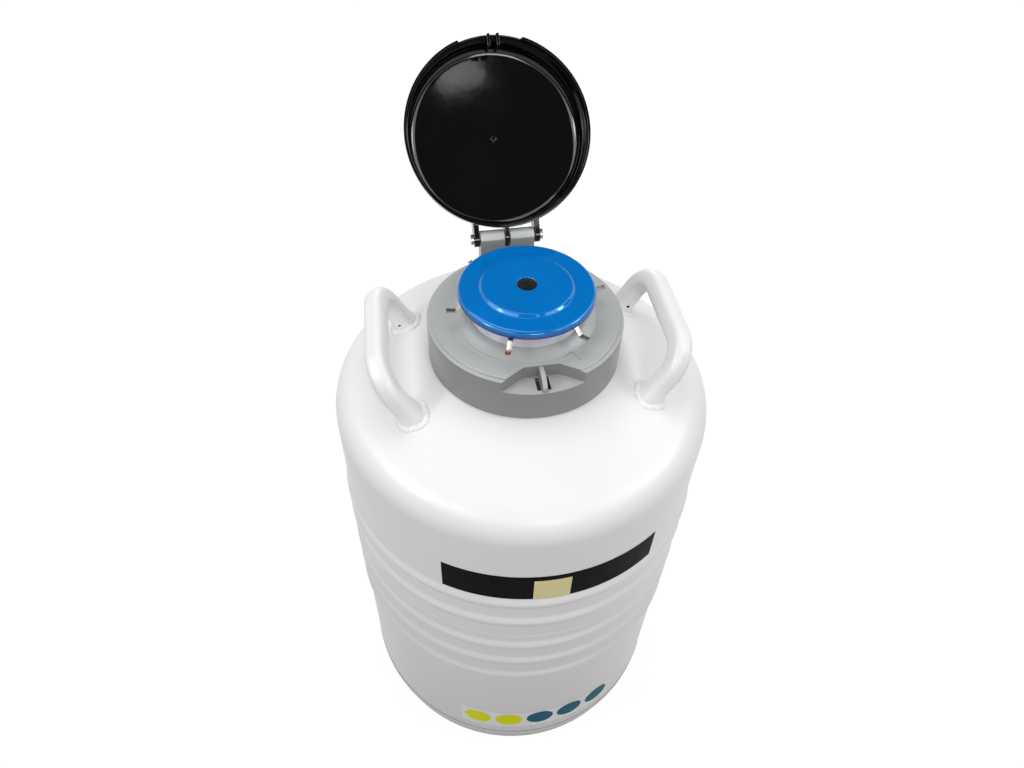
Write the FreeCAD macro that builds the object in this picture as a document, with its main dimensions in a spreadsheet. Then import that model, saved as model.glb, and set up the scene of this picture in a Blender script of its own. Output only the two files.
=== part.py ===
"""Aluminium liquid nitrogen container with six canisters, standing open.

Millimetres, +Z up.  The origin is the centre of the foot ring on the floor,
the padlock recess faces -Y and the lid hinge runs along X at the back.
"""
import FreeCAD
import Part
import Sketcher
import math
import os
from types import SimpleNamespace

os.makedirs("parts", exist_ok=True)
doc = FreeCAD.newDocument("cryogenic_container")
sheet = doc.addObject("Spreadsheet::Sheet", "sizes")
Vector = FreeCAD.Vector

SIZES = {
    # outer vessel
    "barrel_radius": 231.5, "barrel_wall": 3.0, "barrel_top": 588.0,
    "shoulder_round": 42.0, "shoulder_slope": 19.6,
    "bead_height": 3.4, "bead_half": 12.5, "bead_pitch": 46.0, "bead_girth_gap": 65.0,
    "bead_drop": 125.0, "girth_drop": 88.0, "bead_flat": 4.0,
    "foot_inset": 5.9, "foot_height": 21.0, "foot_wall": 3.0, "foot_round": 9.5,
    "foot_edge": 2.5, "spout_wall": 3.5, "spout_below_deck": 17.0,
    # neck and inner vessel
    "neck_bore": 62.5, "neck_wall": 1.8, "neck_above_ledge": 23.0, "neck_lap": 26.0,
    "bond_gap": 0.2,
    "vacuum_space": 39.0, "inner_wall": 2.5, "inner_floor": 55.0, "inner_drop": 88.0,
    "inner_cone_rise": 48.0, "spigot_length": 24.0,
    "blanket_seat": 0.3, "blanket_gap": 2.0, "blanket_drop": 28.0,
    "tray_radius": 120.0, "tray_bore": 40.0, "tray_height": 14.0,
    # collar around the neck
    "collar_radius": 113.0, "collar_wall": 3.0, "collar_gap": 2.2, "collar_rise": 53.0,
    "ledge_width": 4.8, "deck_rise": 2.0, "deck_plate": 3.0,
    "deck_step_inset": 29.0, "deck_step": 1.2, "deck_crown": 4.0, "deck_edge": 0.8,
    "collar_clear": 0.8,
    "sleeve_wall": 3.2, "sleeve_length": 30.0, "sleeve_gap": 0.3,
    "clamp_width": 10.0, "clamp_thick": 1.2, "clamp_worm": 24.0,
    "recess_depth": 14.0, "recess_half": 19.4, "recess_inset": 26.5,
    "recess_splay": 58.0, "recess_wall": 2.5, "tray_plate": 3.0,
    "slot_inner": 3.2, "slot_outer": 7.6, "slot_inset": 2.0, "slot_length": 19.3,
    "staple_plate": 5.6, "staple_bow": 0.68, "padlock_bore": 6.5, "padlock_inset": 16.0,
    "padlock_rise": 6.6,
    # hinge and lid
    "hinge_out": 9.8, "hinge_rise": 19.3, "open_angle": 129.4,
    "lug_radius": 9.6, "lug_brow": 2.7, "lug_crown": 16.0, "lug_inner": 3.5, "lug_outer": 33.5,
    "pin_radius": 3.0,
    "pin_gap": 0.3, "pin_head": 6.2, "pin_head_thick": 3.5, "side_gap": 0.3,
    "arm_radius": 9.4, "arm_gap": 0.8, "arm_width": 6.7, "arm_bite": 0.1,
    "tail_length": 22.0, "tail_half": 4.0, "stop_gap": 0.15, "stop_height": 34.0,
    "lip_inset": 0.5, "lip_width": 2.3, "lip_height": 7.0, "lip_gap_angle": 40.0,
    "lid_wall": 2.5, "lid_seat_gap": 0.3, "lid_clear": 1.7, "lid_depth": 30.7,
    "lid_knuckle": 14.0, "lid_crown": 657.0, "lid_boss": 3.5,
    "prong_gap": 0.5, "prong_slack": 2.9, "prong_drop": 22.0,
    # cap and plug
    "ring_wall": 1.2, "ring_lift": 5.0, "ring_height": 24.0, "ring_notch": 3.5,
    "notch_half": 4.0,
    "cap_radius": 77.5, "cap_thick": 10.0, "cap_round": 4.5, "cap_disc": 52.0,
    "cap_disc_rise": 3.2, "cap_hole": 11.2, "centre_gap": 0.1, "plug_gap": 1.5,
    "plug_length": 106.0,
    # canisters
    "canister_radius": 48.0, "canister_wall": 1.0, "canister_length": 280.0,
    "canister_seat": 0.3, "canister_turn": 4.5, "drain_radius": 6.0,
    "strip_margin": 5.0, "strip_thick": 1.5, "strip_half": 3.0, "strip_lap": 77.5,
    "strip_clear": 0.5, "hook_inset": 0.6, "hook_out": 15.9, "hook_drop": 8.6, "hook_fall": 7.0,
    "hook_tip": 2.4,
    "plate_gap": 27.0, "plate_thick": 1.0, "rim_height": 1.2, "rim_gap": 1.0,
    "rim_wall": 1.5,
    # carry handles
    "handle_reach": 138.0, "handle_span": 78.0, "handle_rise": 69.0, "handle_lean": 28.0,
    "handle_bend": 34.0, "handle_width": 23.0, "handle_depth": 26.0, "handle_corner": 8.0,
    "handle_wall": 2.5, "handle_sink": 22.0, "handle_turn": -2.7,
    "vent_bore": 3.0, "vent_height": 13.0, "weld_leg": 6.5,
    # pump-out port under the collar
    "port_radius": 8.0, "port_inset": 21.0, "port_below_ledge": 27.0, "port_angle": 140.0,
    "port_cup": 14.0, "port_cup_wall": 2.0,
}


class Size:
    """A length or angle held both as a sheet formula and as its number."""

    def __init__(self, formula, value):
        self.formula, self.value = formula, float(value)

    def join(self, sign, other, value):
        text = other.formula if isinstance(other, Size) else repr(float(other))
        return Size(f"({self.formula} {sign} {text})", value)

    def __add__(self, other):
        return self.join("+", other, self.value + number(other))

    def __sub__(self, other):
        return self.join("-", other, self.value - number(other))

    def __mul__(self, other):
        return self.join("*", other, self.value * number(other))

    def __truediv__(self, other):
        return self.join("/", other, self.value / number(other))

    def __neg__(self):
        return Size(f"(0 - {self.formula})", -self.value)


def number(item):
    return item.value if isinstance(item, Size) else float(item)


def sine(angle):
    return Size(f"sin({angle.formula})", math.sin(math.radians(angle.value)))


def cosine(angle):
    return Size(f"cos({angle.formula})", math.cos(math.radians(angle.value)))


def tangent(angle):
    return Size(f"tan({angle.formula})", math.tan(math.radians(angle.value)))


def root(item):
    return Size(f"sqrt({item.formula})", math.sqrt(item.value))


for row, (alias, value) in enumerate(SIZES.items(), start=1):
    sheet.set(f"A{row}", alias)
    sheet.set(f"B{row}", str(value))
    sheet.setAlias(f"B{row}", alias)
s = SimpleNamespace(**{alias: Size(f"sizes.{alias}", value) for alias, value in SIZES.items()})
doc.recompute()


def bind(obj, prop, item):
    """Set one property from a number, and from its formula if it has one."""
    if isinstance(item, Size):
        obj.setExpression(prop, item.formula)
    else:
        setattr(obj, prop, item)


def place(obj, x=0, y=0, z=0, angle=0, axis=(0, 0, 1)):
    """Put an object at x, y, z, turned by angle about axis."""
    obj.Placement = FreeCAD.Placement(
        Vector(number(x), number(y), number(z)), FreeCAD.Rotation(Vector(*axis), number(angle)))
    for letter, item in zip("xyz", (x, y, z)):
        if isinstance(item, Size):
            obj.setExpression(f".Placement.Base.{letter}", item.formula)
    if isinstance(angle, Size):
        obj.setExpression(".Placement.Rotation.Angle", angle.formula)
    return obj


def draw(sketch, points, closed=True):
    """Outline of (x, y) or (x, y, radius) points, each tied to the sheet.

    A radius belongs to the arc from that point to the next one: positive
    turns left along the way, negative turns right.
    """
    ring = list(points) + ([points[0]] if closed else [])
    shapes, ends = [], []
    for first, last in zip(ring[:-1], ring[1:]):
        a = Vector(number(first[0]), number(first[1]), 0)
        b = Vector(number(last[0]), number(last[1]), 0)
        if len(first) == 2:
            shapes.append(Part.LineSegment(a, b))
            ends.append((1, 2))
            continue
        radius = number(first[2])
        chord = b - a
        side = Vector(-chord.y, chord.x, 0).normalize() * math.copysign(1, radius)
        centre = (a + b) * 0.5 + side * math.sqrt(max(radius ** 2 - chord.Length ** 2 / 4, 0))
        start = math.atan2(a.y - centre.y, a.x - centre.x)
        stop = math.atan2(b.y - centre.y, b.x - centre.x)
        if radius < 0:
            start, stop = stop, start
        if stop < start:
            stop += 2 * math.pi
        circle = Part.Circle(centre, Vector(0, 0, 1), abs(radius))
        shapes.append(Part.ArcOfCircle(circle, start, stop))
        ends.append((1, 2) if radius > 0 else (2, 1))
    sketch.addGeometry(shapes, False)

    def tie(kind, places, item, name):
        spot = sketch.addConstraint(Sketcher.Constraint(kind, *places, number(item)))
        sketch.renameConstraint(spot, name)
        if isinstance(item, Size):
            sketch.setExpression(f"Constraints.{name}", item.formula)

    for index in range(len(shapes) if closed else len(shapes) - 1):
        after = (index + 1) % len(shapes)
        sketch.addConstraint(Sketcher.Constraint(
            "Coincident", index, ends[index][1], after, ends[after][0]))
    for index, point in enumerate(points):
        geo = min(index, len(shapes) - 1)
        end = ends[geo][0] if index == geo else ends[geo][1]
        for kind, item, axis, word in (("DistanceX", point[0], -2, "across"),
                                       ("DistanceY", point[1], -1, "along")):
            if number(item) == 0:
                sketch.addConstraint(Sketcher.Constraint("PointOnObject", geo, end, axis))
            else:
                tie(kind, (-1, 1, geo, end), item, f"{word}_{index}")
        if len(point) == 3:
            radius = point[2] if number(point[2]) > 0 else -point[2]
            tie("Radius", (index,), radius, f"round_{index}")
    return sketch


UPRIGHT = FreeCAD.Rotation(Vector(1, 0, 0), 90)          # sketch x, y become X, Z
SIDEWAYS = FreeCAD.Rotation(Vector(1, 1, 1), 120)        # sketch x, y become Y, Z


def turned(name, points, rounds=()):
    """A body turned about Z from an outline of (radius, height) points.

    Each item of rounds is (radius, height, fillet) for one circular edge.
    """
    body = doc.addObject("PartDesign::Body", name)
    sketch = body.newObject("Sketcher::SketchObject", name + "_outline")
    sketch.Placement = FreeCAD.Placement(Vector(0, 0, 0), UPRIGHT)
    draw(sketch, points)
    spin = body.newObject("PartDesign::Revolution", name + "_turning")
    spin.Profile = sketch
    spin.ReferenceAxis = (sketch, ["V_Axis"])
    spin.Angle = 360
    doc.recompute()
    tip = spin
    for radius, height, fillet in rounds:
        names = []
        for index, edge in enumerate(tip.Shape.Edges, start=1):
            curve = edge.Curve
            if isinstance(curve, Part.Circle) and abs(curve.Radius - number(radius)) < 0.01 \
                    and abs(curve.Center.z - number(height)) < 0.01 \
                    and math.hypot(curve.Center.x, curve.Center.y) < 0.01:
                names.append(f"Edge{index}")
        edging = body.newObject("PartDesign::Fillet", name + "_rounding")
        edging.Base = (tip, names[:1])
        bind(edging, "Radius", fillet)
        doc.recompute()
        tip = edging
    return body


def slab(name, points, thick, x=0, y=0, z=0, rotation=None, middle=False):
    """An outline made thick along its own normal."""
    sketch = doc.addObject("Sketcher::SketchObject", name + "_outline")
    draw(sketch, points)
    if rotation:
        sketch.Placement = FreeCAD.Placement(Vector(0, 0, 0), rotation)
    block = doc.addObject("Part::Extrusion", name)
    block.Base = sketch
    block.DirMode = "Normal"
    bind(block, "LengthFwd", thick)
    block.Solid = True
    block.Symmetric = middle
    return place(block, x, y, z)


def box(name, length, width, height, x=0, y=0, z=0):
    block = doc.addObject("Part::Box", name)
    for prop, item in (("Length", length), ("Width", width), ("Height", height)):
        bind(block, prop, item)
    return place(block, x, y, z)


def rod(name, radius, height, x=0, y=0, z=0, axis=None):
    """A cylinder along Z, or along X when axis is "X"."""
    block = doc.addObject("Part::Cylinder", name)
    bind(block, "Radius", radius)
    bind(block, "Height", height)
    return place(block, x, y, z, 90, (0, 1, 0)) if axis == "X" else place(block, x, y, z)


def fuse(name, *items):
    union = doc.addObject("Part::MultiFuse", name)
    union.Shapes = list(items)
    union.Refine = True
    return union


def cut(name, base, tool):
    less = doc.addObject("Part::Cut", name)
    less.Base, less.Tool = base, tool
    less.Refine = True
    return less


def shared(name, *items):
    both = doc.addObject("Part::MultiCommon", name)
    both.Shapes = list(items)
    both.Refine = True
    return both


nodes = {}


def keep(name, obj, label):
    """Register a finished piece under its file name and its readable label."""
    obj.Label = label
    nodes[name] = obj


# Outer vessel: a lower barrel with three beads, an upper barrel with two beads
# and the rounded shoulder, welded at a girth seam, and the neck spout.  The
# cone lines are shared by the handles, the collar and the port.
slope, swell = s.shoulder_slope, s.shoulder_round
cone_start = s.barrel_radius - swell + swell * sine(slope)
cone_height = s.barrel_top + swell * cosine(slope)


def cone(radius):
    """Height of the shoulder's outer face at a radius."""
    return cone_height + (cone_start - radius) * tangent(slope)


# Heights and radii that several pieces share, each a named step from the last.
neck_outer = s.neck_bore + s.neck_wall
sleeve = neck_outer + s.bond_gap
spout = sleeve + s.spout_wall
foot = s.barrel_radius - s.foot_inset
skirt_bore = foot - s.foot_wall
ring_radius = sleeve + s.ring_wall
collar_bore = ring_radius + s.collar_clear
deck = s.collar_radius - s.ledge_width
collar_foot = cone(s.collar_radius) + s.collar_gap
ledge = collar_foot + s.collar_rise
deck_height = ledge + s.deck_rise
spout_top = deck_height - s.spout_below_deck
neck_top = ledge + s.neck_above_ledge
ring_foot = deck_height + s.ring_lift
ring_top = ring_foot + s.ring_height
hinge_reach = s.collar_radius + s.hinge_out
hinge_height = ledge + s.hinge_rise
recess_floor = ledge - s.recess_depth
padlock_height = recess_floor + s.padlock_rise
recess_back = s.collar_radius - s.recess_inset
slot_near = recess_back + s.slot_inset
slot_far = slot_near + s.slot_length
padlock_reach = s.collar_radius - s.padlock_inset

bead_first = s.barrel_top - s.bead_drop
girth = bead_first - s.girth_drop
lower_beads = [bead_first - s.bead_girth_gap - s.bead_pitch * 3,
               bead_first - s.bead_girth_gap - s.bead_pitch * 2,
               bead_first - s.bead_girth_gap - s.bead_pitch]
upper_beads = [bead_first - s.bead_pitch, bead_first]
bead_round = (s.bead_half * s.bead_half + s.bead_height * s.bead_height) / (s.bead_height * 2)
inside = s.barrel_radius - s.barrel_wall


def beaded(heights):
    """Outline points up the outer face of the barrel, one arc for each bead."""
    return [point for height in heights for point in (
        (s.barrel_radius, height - s.bead_half, bead_round),
        (s.barrel_radius, height + s.bead_half))]


def hollowed(heights):
    """Outline points down the inner face, where each bead is pressed out."""
    crest = inside + s.bead_height
    return [point for height in reversed(heights) for point in (
        (inside, height + s.bead_half), (crest, height + s.bead_flat),
        (crest, height - s.bead_flat), (inside, height - s.bead_half))]


keep("outer_shell_lower", turned("outer_shell_lower", [
    (skirt_bore, s.foot_height), (foot, s.foot_height, s.foot_round),
    (s.barrel_radius, s.foot_height + s.foot_round), *beaded(lower_beads),
    (s.barrel_radius, girth), (inside, girth), *hollowed(lower_beads),
    (inside, s.foot_height + s.foot_round + s.foot_wall),
    (skirt_bore, s.foot_height + s.foot_wall * 2)]), "Outer shell, lower half")
plate_rise = s.barrel_wall / cosine(slope)
keep("outer_shell_upper", turned("outer_shell_upper", [
    (inside, girth), (s.barrel_radius, girth), *beaded(upper_beads),
    (s.barrel_radius, s.barrel_top, swell), (cone_start, cone_height), (spout, cone(spout)),
    (spout, cone(spout) - plate_rise),
    (cone_start - s.barrel_wall * sine(slope), cone_height - s.barrel_wall * cosine(slope),
     -(swell - s.barrel_wall)),
    (inside, s.barrel_top), *hollowed(upper_beads)]), "Outer shell, upper half")
keep("neck_spout", turned("neck_spout", [
    (sleeve, cone(spout) - plate_rise), (spout, cone(spout) - plate_rise), (spout, spout_top),
    (sleeve, spout_top)]), "Neck spout")

# Foot pan: the vessel's pressed bottom, flat on the floor, welded on at a seam.
keep("foot_pan", turned("foot_pan", [
    (0, 0), (foot - s.foot_edge, 0), (foot, s.foot_edge), (foot, s.foot_height),
    (skirt_bore, s.foot_height), (skirt_bore, s.foot_wall), (0, s.foot_wall)]), "Foot pan")

# Inner vessel: a flat base, a rolled wall and a cone with the neck spigot,
# welded edge to edge.  It hangs from the neck tube and touches nothing else.
inner_radius = inside - s.vacuum_space
inner_top = s.barrel_top - s.inner_drop
spigot_foot = inner_top + s.inner_cone_rise
spigot_top = spigot_foot + s.spigot_length
spigot_bore = sleeve
spigot = spigot_bore + s.inner_wall
pot_bore = inner_radius - s.inner_wall
pot_floor = s.inner_floor + s.inner_wall
keep("inner_base", turned("inner_base", [
    (0, s.inner_floor), (pot_bore, s.inner_floor), (pot_bore, pot_floor), (0, pot_floor)]),
    "Inner vessel base")
keep("inner_wall", turned("inner_wall", [
    (pot_bore, s.inner_floor), (inner_radius, s.inner_floor), (inner_radius, inner_top),
    (pot_bore, inner_top)]), "Inner vessel wall")
keep("inner_cone", turned("inner_cone", [
    (pot_bore, inner_top), (inner_radius, inner_top), (spigot, spigot_foot),
    (spigot, spigot_top), (spigot_bore, spigot_top),
    (spigot_bore, spigot_foot - s.inner_wall)]), "Inner vessel cone")

# Neck tube of glass fibre laminate, bonded into the spigot and the spout.
neck_foot = spigot_top - s.neck_lap
keep("neck_tube", turned("neck_tube", [
    (s.neck_bore, neck_foot), (neck_outer, neck_foot), (neck_outer, neck_top),
    (s.neck_bore, neck_top)]), "Neck tube")

# Wrapped insulation, laid on the inner vessel and clear of the outer one, and
# the sorbent tray on the floor of the foot pan.
tray_top = s.foot_wall + s.tray_height
blanket_outer = inside - s.blanket_gap
blanket_inner = inner_radius + s.blanket_seat
blanket_low = skirt_bore - s.blanket_gap
blanket_floor = tray_top + s.blanket_gap
foot_shoulder = s.foot_height + s.foot_round + s.foot_wall * 3
keep("insulation_blanket", turned("insulation_blanket", [
    (0, blanket_floor), (blanket_low, blanket_floor),
    (blanket_low, s.foot_height + s.foot_wall * 2), (blanket_outer, foot_shoulder),
    (blanket_outer, s.barrel_top - s.blanket_drop),
    (spigot + s.blanket_gap * 2, spigot_top + s.blanket_drop),
    (spigot + s.blanket_seat, spigot_top),
    (spigot + s.blanket_seat, spigot_foot + s.blanket_seat),
    (blanket_inner, inner_top + s.blanket_seat), (blanket_inner, s.inner_floor - s.blanket_seat),
    (0, s.inner_floor - s.blanket_seat)]), "Insulation blanket")
keep("sorbent_tray", turned("sorbent_tray", [
    (s.tray_bore, s.foot_wall + s.bond_gap), (s.tray_radius, s.foot_wall + s.bond_gap),
    (s.tray_radius, tray_top), (s.tray_bore, tray_top)]), "Sorbent tray")

# A solid in the shape of the outer vessel, used to trim whatever is welded on.
form = turned("shoulder_form", [
    (0, inner_top), (s.barrel_radius, inner_top), (s.barrel_radius, s.barrel_top, swell),
    (cone_start, cone_height), (spout, cone(spout)), (0, cone(spout))])

# Pump-out port and its cap on the shoulder, hidden by the collar.
port_circle = s.collar_radius - s.port_inset
port_x = port_circle * cosine(s.port_angle)
port_y = port_circle * sine(s.port_angle)
port_top = ledge - s.port_below_ledge
cup_foot = port_top + s.port_cup_wall - s.port_cup + s.bond_gap
keep("vacuum_port", cut("vacuum_port", rod(
    "port_stub", s.port_radius, port_top - cone_height, port_x, port_y, cone_height), form),
    "Vacuum port")
port_cup = rod("port_cup", s.port_radius + s.bond_gap + s.port_cup_wall, s.port_cup, port_x,
               port_y, cup_foot)
port_cup_bore = rod("port_cup_bore", s.port_radius + s.bond_gap, s.port_cup - s.port_cup_wall,
                    port_x, port_y, cup_foot)
keep("vacuum_port_cap", cut("vacuum_port_cap", port_cup, port_cup_bore), "Vacuum port cap")

# Collar: a moulded cover turned about the neck, its deck rising to the bore,
# with the padlock recess let into its front edge.
sleeve_bore = spout + s.sleeve_gap
sleeve_outer = sleeve_bore + s.sleeve_wall
under = deck_height - s.deck_plate
sleeve_foot = under - s.sleeve_length
collar_inside = s.collar_radius - s.collar_wall
deck_inside = deck - s.collar_wall
deck_step_radius = s.collar_radius - s.deck_step_inset
step_height = deck_height + s.deck_step
cover = turned("collar_cover", [
    (s.collar_radius, collar_foot), (s.collar_radius, ledge), (deck, ledge),
    (deck, deck_height), (deck_step_radius, deck_height), (deck_step_radius, step_height),
    (collar_bore, deck_height + s.deck_crown), (collar_bore, under),
    (sleeve_bore, under), (sleeve_bore, sleeve_foot), (sleeve_outer, sleeve_foot),
    (sleeve_outer, under), (deck_inside, under), (deck_inside, ledge - s.collar_wall),
    (collar_inside, ledge - s.collar_wall), (collar_inside, collar_foot)],
    [(deck, deck_height, s.deck_edge), (s.collar_radius, ledge, s.deck_edge)])
flare = tangent(s.recess_splay)


def recess(half, back, far):
    """Plan of the recess: a straight back and two splayed sides."""
    reach = (far - back) * flare + half
    return [(-half, -back), (-reach, -far), (reach, -far), (half, -back)]


far = s.collar_radius + s.recess_wall
tray_under = recess_floor - s.tray_plate
recess_tray = shared(
    "recess_tray",
    slab("recess_tray_block", recess(s.recess_half + s.recess_wall / 2,
                                     recess_back - s.recess_wall, far),
         ledge - tray_under, z=tray_under),
    rod("recess_tray_disc", s.collar_radius, s.collar_rise, z=collar_foot))
recess_room = slab("recess_room", recess(s.recess_half, recess_back, far + s.recess_wall),
                   s.recess_depth * 2, z=recess_floor)
slots = []
for word, start in (("left", -s.slot_outer), ("right", s.slot_inner)):
    slots.append(box(f"slot_{word}", s.slot_outer - s.slot_inner, s.slot_length,
                     s.recess_depth, start, -slot_far, tray_under - s.tray_plate))
staple_back = recess_back - s.recess_wall / 2
staple_shoulder = slot_near + s.recess_wall
staple_tip = s.collar_radius - s.collar_wall / 5
staple_foot = recess_floor - s.tray_plate / 2
staple_run, staple_fall = staple_tip - staple_shoulder, ledge - staple_foot
staple_curve = root(staple_run * staple_run + staple_fall * staple_fall) * s.staple_bow
staple = slab("staple", [
    (-staple_back, tray_under), (-staple_back, ledge), (-staple_shoulder, ledge, staple_curve),
    (-staple_tip, staple_foot), (-staple_tip, tray_under)],
    s.staple_plate, rotation=SIDEWAYS, middle=True)
staple_hole = rod("staple_hole", s.padlock_bore / 2, s.recess_half * 2, -s.recess_half,
                  -padlock_reach, padlock_height, "X")
collar = cut("collar_recessed", fuse("collar_blank", cover, recess_tray), recess_room)
collar = fuse("collar_with_staple", collar, staple)
collar = cut("collar_slotted", collar, fuse("collar_tools", *slots, staple_hole))
keep("neck_collar", collar, "Neck collar")

# Hinge bracket: two lugs joined by the web that the lid's tail stops against,
# its foot shaped to the collar's wall.
lug_front = hinge_reach - s.lug_radius
lug_back = hinge_reach + s.lug_radius
lug_root = s.collar_radius - s.collar_wall * 2
lug_top = ledge - s.deck_edge
lug_outline = [
    (lug_root, collar_foot + s.collar_rise / 4),
    (hinge_reach, collar_foot + s.collar_rise / 2),
    (lug_back, collar_foot + s.collar_rise * 0.8), (lug_back, hinge_height, s.lug_radius),
    (hinge_reach, hinge_height + s.lug_radius, s.lug_crown),
    (lug_front, hinge_height + s.lug_brow), (lug_front, lug_top), (lug_root, lug_top)]
lugs = []
for side, start in (("left", -s.lug_outer), ("right", s.lug_inner)):
    lugs.append(slab(f"lug_{side}_block", lug_outline, s.lug_outer - s.lug_inner, x=start,
                     rotation=SIDEWAYS))
stop_face = hinge_reach - s.tail_half - s.stop_gap
lugs.append(box("stop_web", s.lug_inner * 2 + s.arm_gap, stop_face - lug_front, s.stop_height,
                -s.lug_inner - s.arm_gap / 2, lug_front, hinge_height - s.lug_radius - s.stop_height))
lug_bore = rod("lug_bore", s.pin_radius + s.pin_gap, s.lug_outer * 3, s.lug_outer * -1.5,
               hinge_reach, hinge_height, "X")
collar_form = rod("collar_form", s.collar_radius, s.collar_rise, z=collar_foot)
keep("hinge_bracket", cut("hinge_bracket", cut(
    "hinge_bracket_blank", fuse("hinge_lugs", *lugs), collar_form), lug_bore), "Hinge bracket")

# Band clamp that holds the collar's sleeve on the spout, with its worm box.
clamp_bore = sleeve_outer + s.bond_gap
clamp_outer = clamp_bore + s.clamp_thick
clamp_foot = sleeve_foot + s.clamp_width / 2
clamp_ring = turned("clamp_ring", [
    (clamp_bore, clamp_foot), (clamp_outer, clamp_foot),
    (clamp_outer, clamp_foot + s.clamp_width), (clamp_bore, clamp_foot + s.clamp_width)])
keep("collar_clamp", fuse("collar_clamp", clamp_ring, box(
    "clamp_worm", s.clamp_width, s.clamp_worm, s.clamp_width + s.clamp_thick,
    clamp_outer - s.clamp_thick / 4, -s.clamp_worm / 2, clamp_foot - s.clamp_thick / 2)),
    "Collar clamp")

# Carry handles: oval tube bent once at each end, leaning outward, its feet
# trimmed to the shoulder.  One is drawn upright about its own foot line and
# then leaned and turned; the other is its mirror image.
half_w, half_d = s.handle_width / 2, s.handle_depth / 2
foot_height = cone(root(s.handle_reach * s.handle_reach + s.handle_span * s.handle_span))
bar_half = s.handle_span - s.handle_bend
leg_top = s.handle_rise - s.handle_bend


def across_leg(name, grow, height, side=-1, bevelled=False):
    """Rounded or bevelled rectangle across one leg, bigger than the tube by grow."""
    w, d, c = half_w + grow, half_d + grow, s.handle_corner + grow
    bend = () if bevelled else (c,)
    sketch = doc.addObject("Sketcher::SketchObject", name)
    draw(sketch, [(w, c - d), (w, d - c, *bend), (w - c, d), (c - w, d, *bend), (-w, d - c),
                  (-w, c - d, *bend), (c - w, -d), (w - c, -d, *bend)])
    return place(sketch, 0, s.handle_span * side, height)


def lean(obj):
    return place(obj, s.handle_reach, 0, foot_height, s.handle_lean, (0, 1, 0))


def bent_tube(name, grow, bevelled=False):
    spine = doc.addObject("Sketcher::SketchObject", name + "_path")
    spine.Placement = FreeCAD.Placement(Vector(0, 0, 0), SIDEWAYS)
    draw(spine, [(-s.handle_span, -s.handle_sink), (-s.handle_span, leg_top, -s.handle_bend),
                 (-bar_half, s.handle_rise), (bar_half, s.handle_rise, -s.handle_bend),
                 (s.handle_span, leg_top), (s.handle_span, -s.handle_sink)], closed=False)
    sweep = doc.addObject("Part::Sweep", name)
    sweep.Sections = [across_leg(name + "_section", grow, -s.handle_sink, bevelled=bevelled)]
    sweep.Spine = (spine, [f"Edge{count}" for count in range(1, 6)])
    sweep.Solid = True
    sweep.Frenet = False
    return sweep


skin = bent_tube("handle_skin", Size("0", 0))
hollow = bent_tube("handle_hollow", -s.handle_wall, bevelled=True)
vent = rod("vent_drill", s.vent_bore / 2, s.handle_depth)
vent.Placement = FreeCAD.Placement(Vector(0, 0, 0), FreeCAD.Rotation(Vector(1, 0, 0), 90))
vent.setExpression(".Placement.Base.y", s.handle_span.formula)
vent.setExpression(".Placement.Base.z", s.vent_height.formula)
tube = lean(cut("handle_tube", skin, fuse("handle_bores", hollow, vent)))
whole = lean(bent_tube("handle_envelope", Size("0", 0)))
handles = {"right": cut("handle_right", tube, form)}

# Weld beads round the four feet: a tapered ring about each leg, cut off at
# the shoulder below and at the tube inside.
beads = {}
for word, side in (("front", -1), ("rear", 1)):
    taper = doc.addObject("Part::Loft", f"weld_{word}_taper")
    taper.Sections = [across_leg(f"weld_{word}_low", s.weld_leg * 2, -s.weld_leg, side),
                      across_leg(f"weld_{word}_high", Size("0.4", 0.4), s.weld_leg, side)]
    taper.Solid = True
    taper.Ruled = True
    ring = cut(f"weld_{word}_ring", lean(taper), form)
    beads[word] = cut(f"weld_right_{word}", ring, whole)


def mirrored(name, source):
    twin = doc.addObject("Part::Mirroring", name)
    twin.Source = source
    twin.Normal = Vector(1, 0, 0)
    return twin


handles["left"] = mirrored("handle_left", handles["right"])
for word, bead in list(beads.items()):
    beads["left_" + word] = mirrored(f"weld_left_{word}", bead)
    beads["right_" + word] = bead
for side, turn in (("left", s.handle_turn * 2), ("right", s.handle_turn)):
    keep(f"handle_{side}", place(handles[side], 0, 0, 0, turn), f"Carry handle {side}")
    for word in ("front", "rear"):
        keep(f"weld_{side}_{word}", place(beads[f"{side}_{word}"], 0, 0, 0, turn),
             f"Handle weld {side} {word}")

# Index ring round the neck tube's mouth, with a notch for each canister strip.
ring_blank = turned("index_ring_blank", [
    (sleeve, ring_foot), (ring_radius, ring_foot), (ring_radius, ring_top),
    (s.neck_bore, ring_top), (s.neck_bore, neck_top + s.bond_gap),
    (sleeve, neck_top + s.bond_gap)])
notches = []
for count in range(6):
    room = slab(f"notch_{count + 1}", [
        (0, -s.notch_half), (s.cap_radius, -s.notch_half),
        (s.cap_radius, s.notch_half), (0, s.notch_half)], s.ring_notch * 2)
    notches.append(place(room, 0, 0, ring_top - s.ring_notch, s.canister_turn + 60 * count))
keep("index_ring", cut("index_ring", ring_blank, fuse("notches", *notches)), "Index ring")

# Neck plug: painted cap with a raised disc, foam core and a black centre plug.
cap_top = ring_top + s.cap_thick
disc_top = cap_top + s.cap_disc_rise
cap_bevel = s.cap_round / 2
keep("cap_cover", turned("cap_cover", [
    (s.cap_hole, ring_top), (s.cap_radius - cap_bevel, ring_top),
    (s.cap_radius, ring_top + cap_bevel), (s.cap_radius, cap_top - s.cap_round, s.cap_round),
    (s.cap_radius - s.cap_round, cap_top), (s.cap_disc, cap_top),
    (s.cap_disc - cap_bevel, disc_top), (s.cap_hole, disc_top)]), "Cap cover")
button = s.cap_hole - s.centre_gap
keep("centre_plug", turned("centre_plug", [
    (0, ring_top), (button, ring_top), (button, disc_top - s.cap_disc_rise / 3),
    (button - s.cap_disc_rise, cap_top + s.cap_disc_rise / 3),
    (0, cap_top + s.cap_disc_rise / 5)]), "Centre plug")
strip_out = s.neck_bore - s.strip_margin
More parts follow.
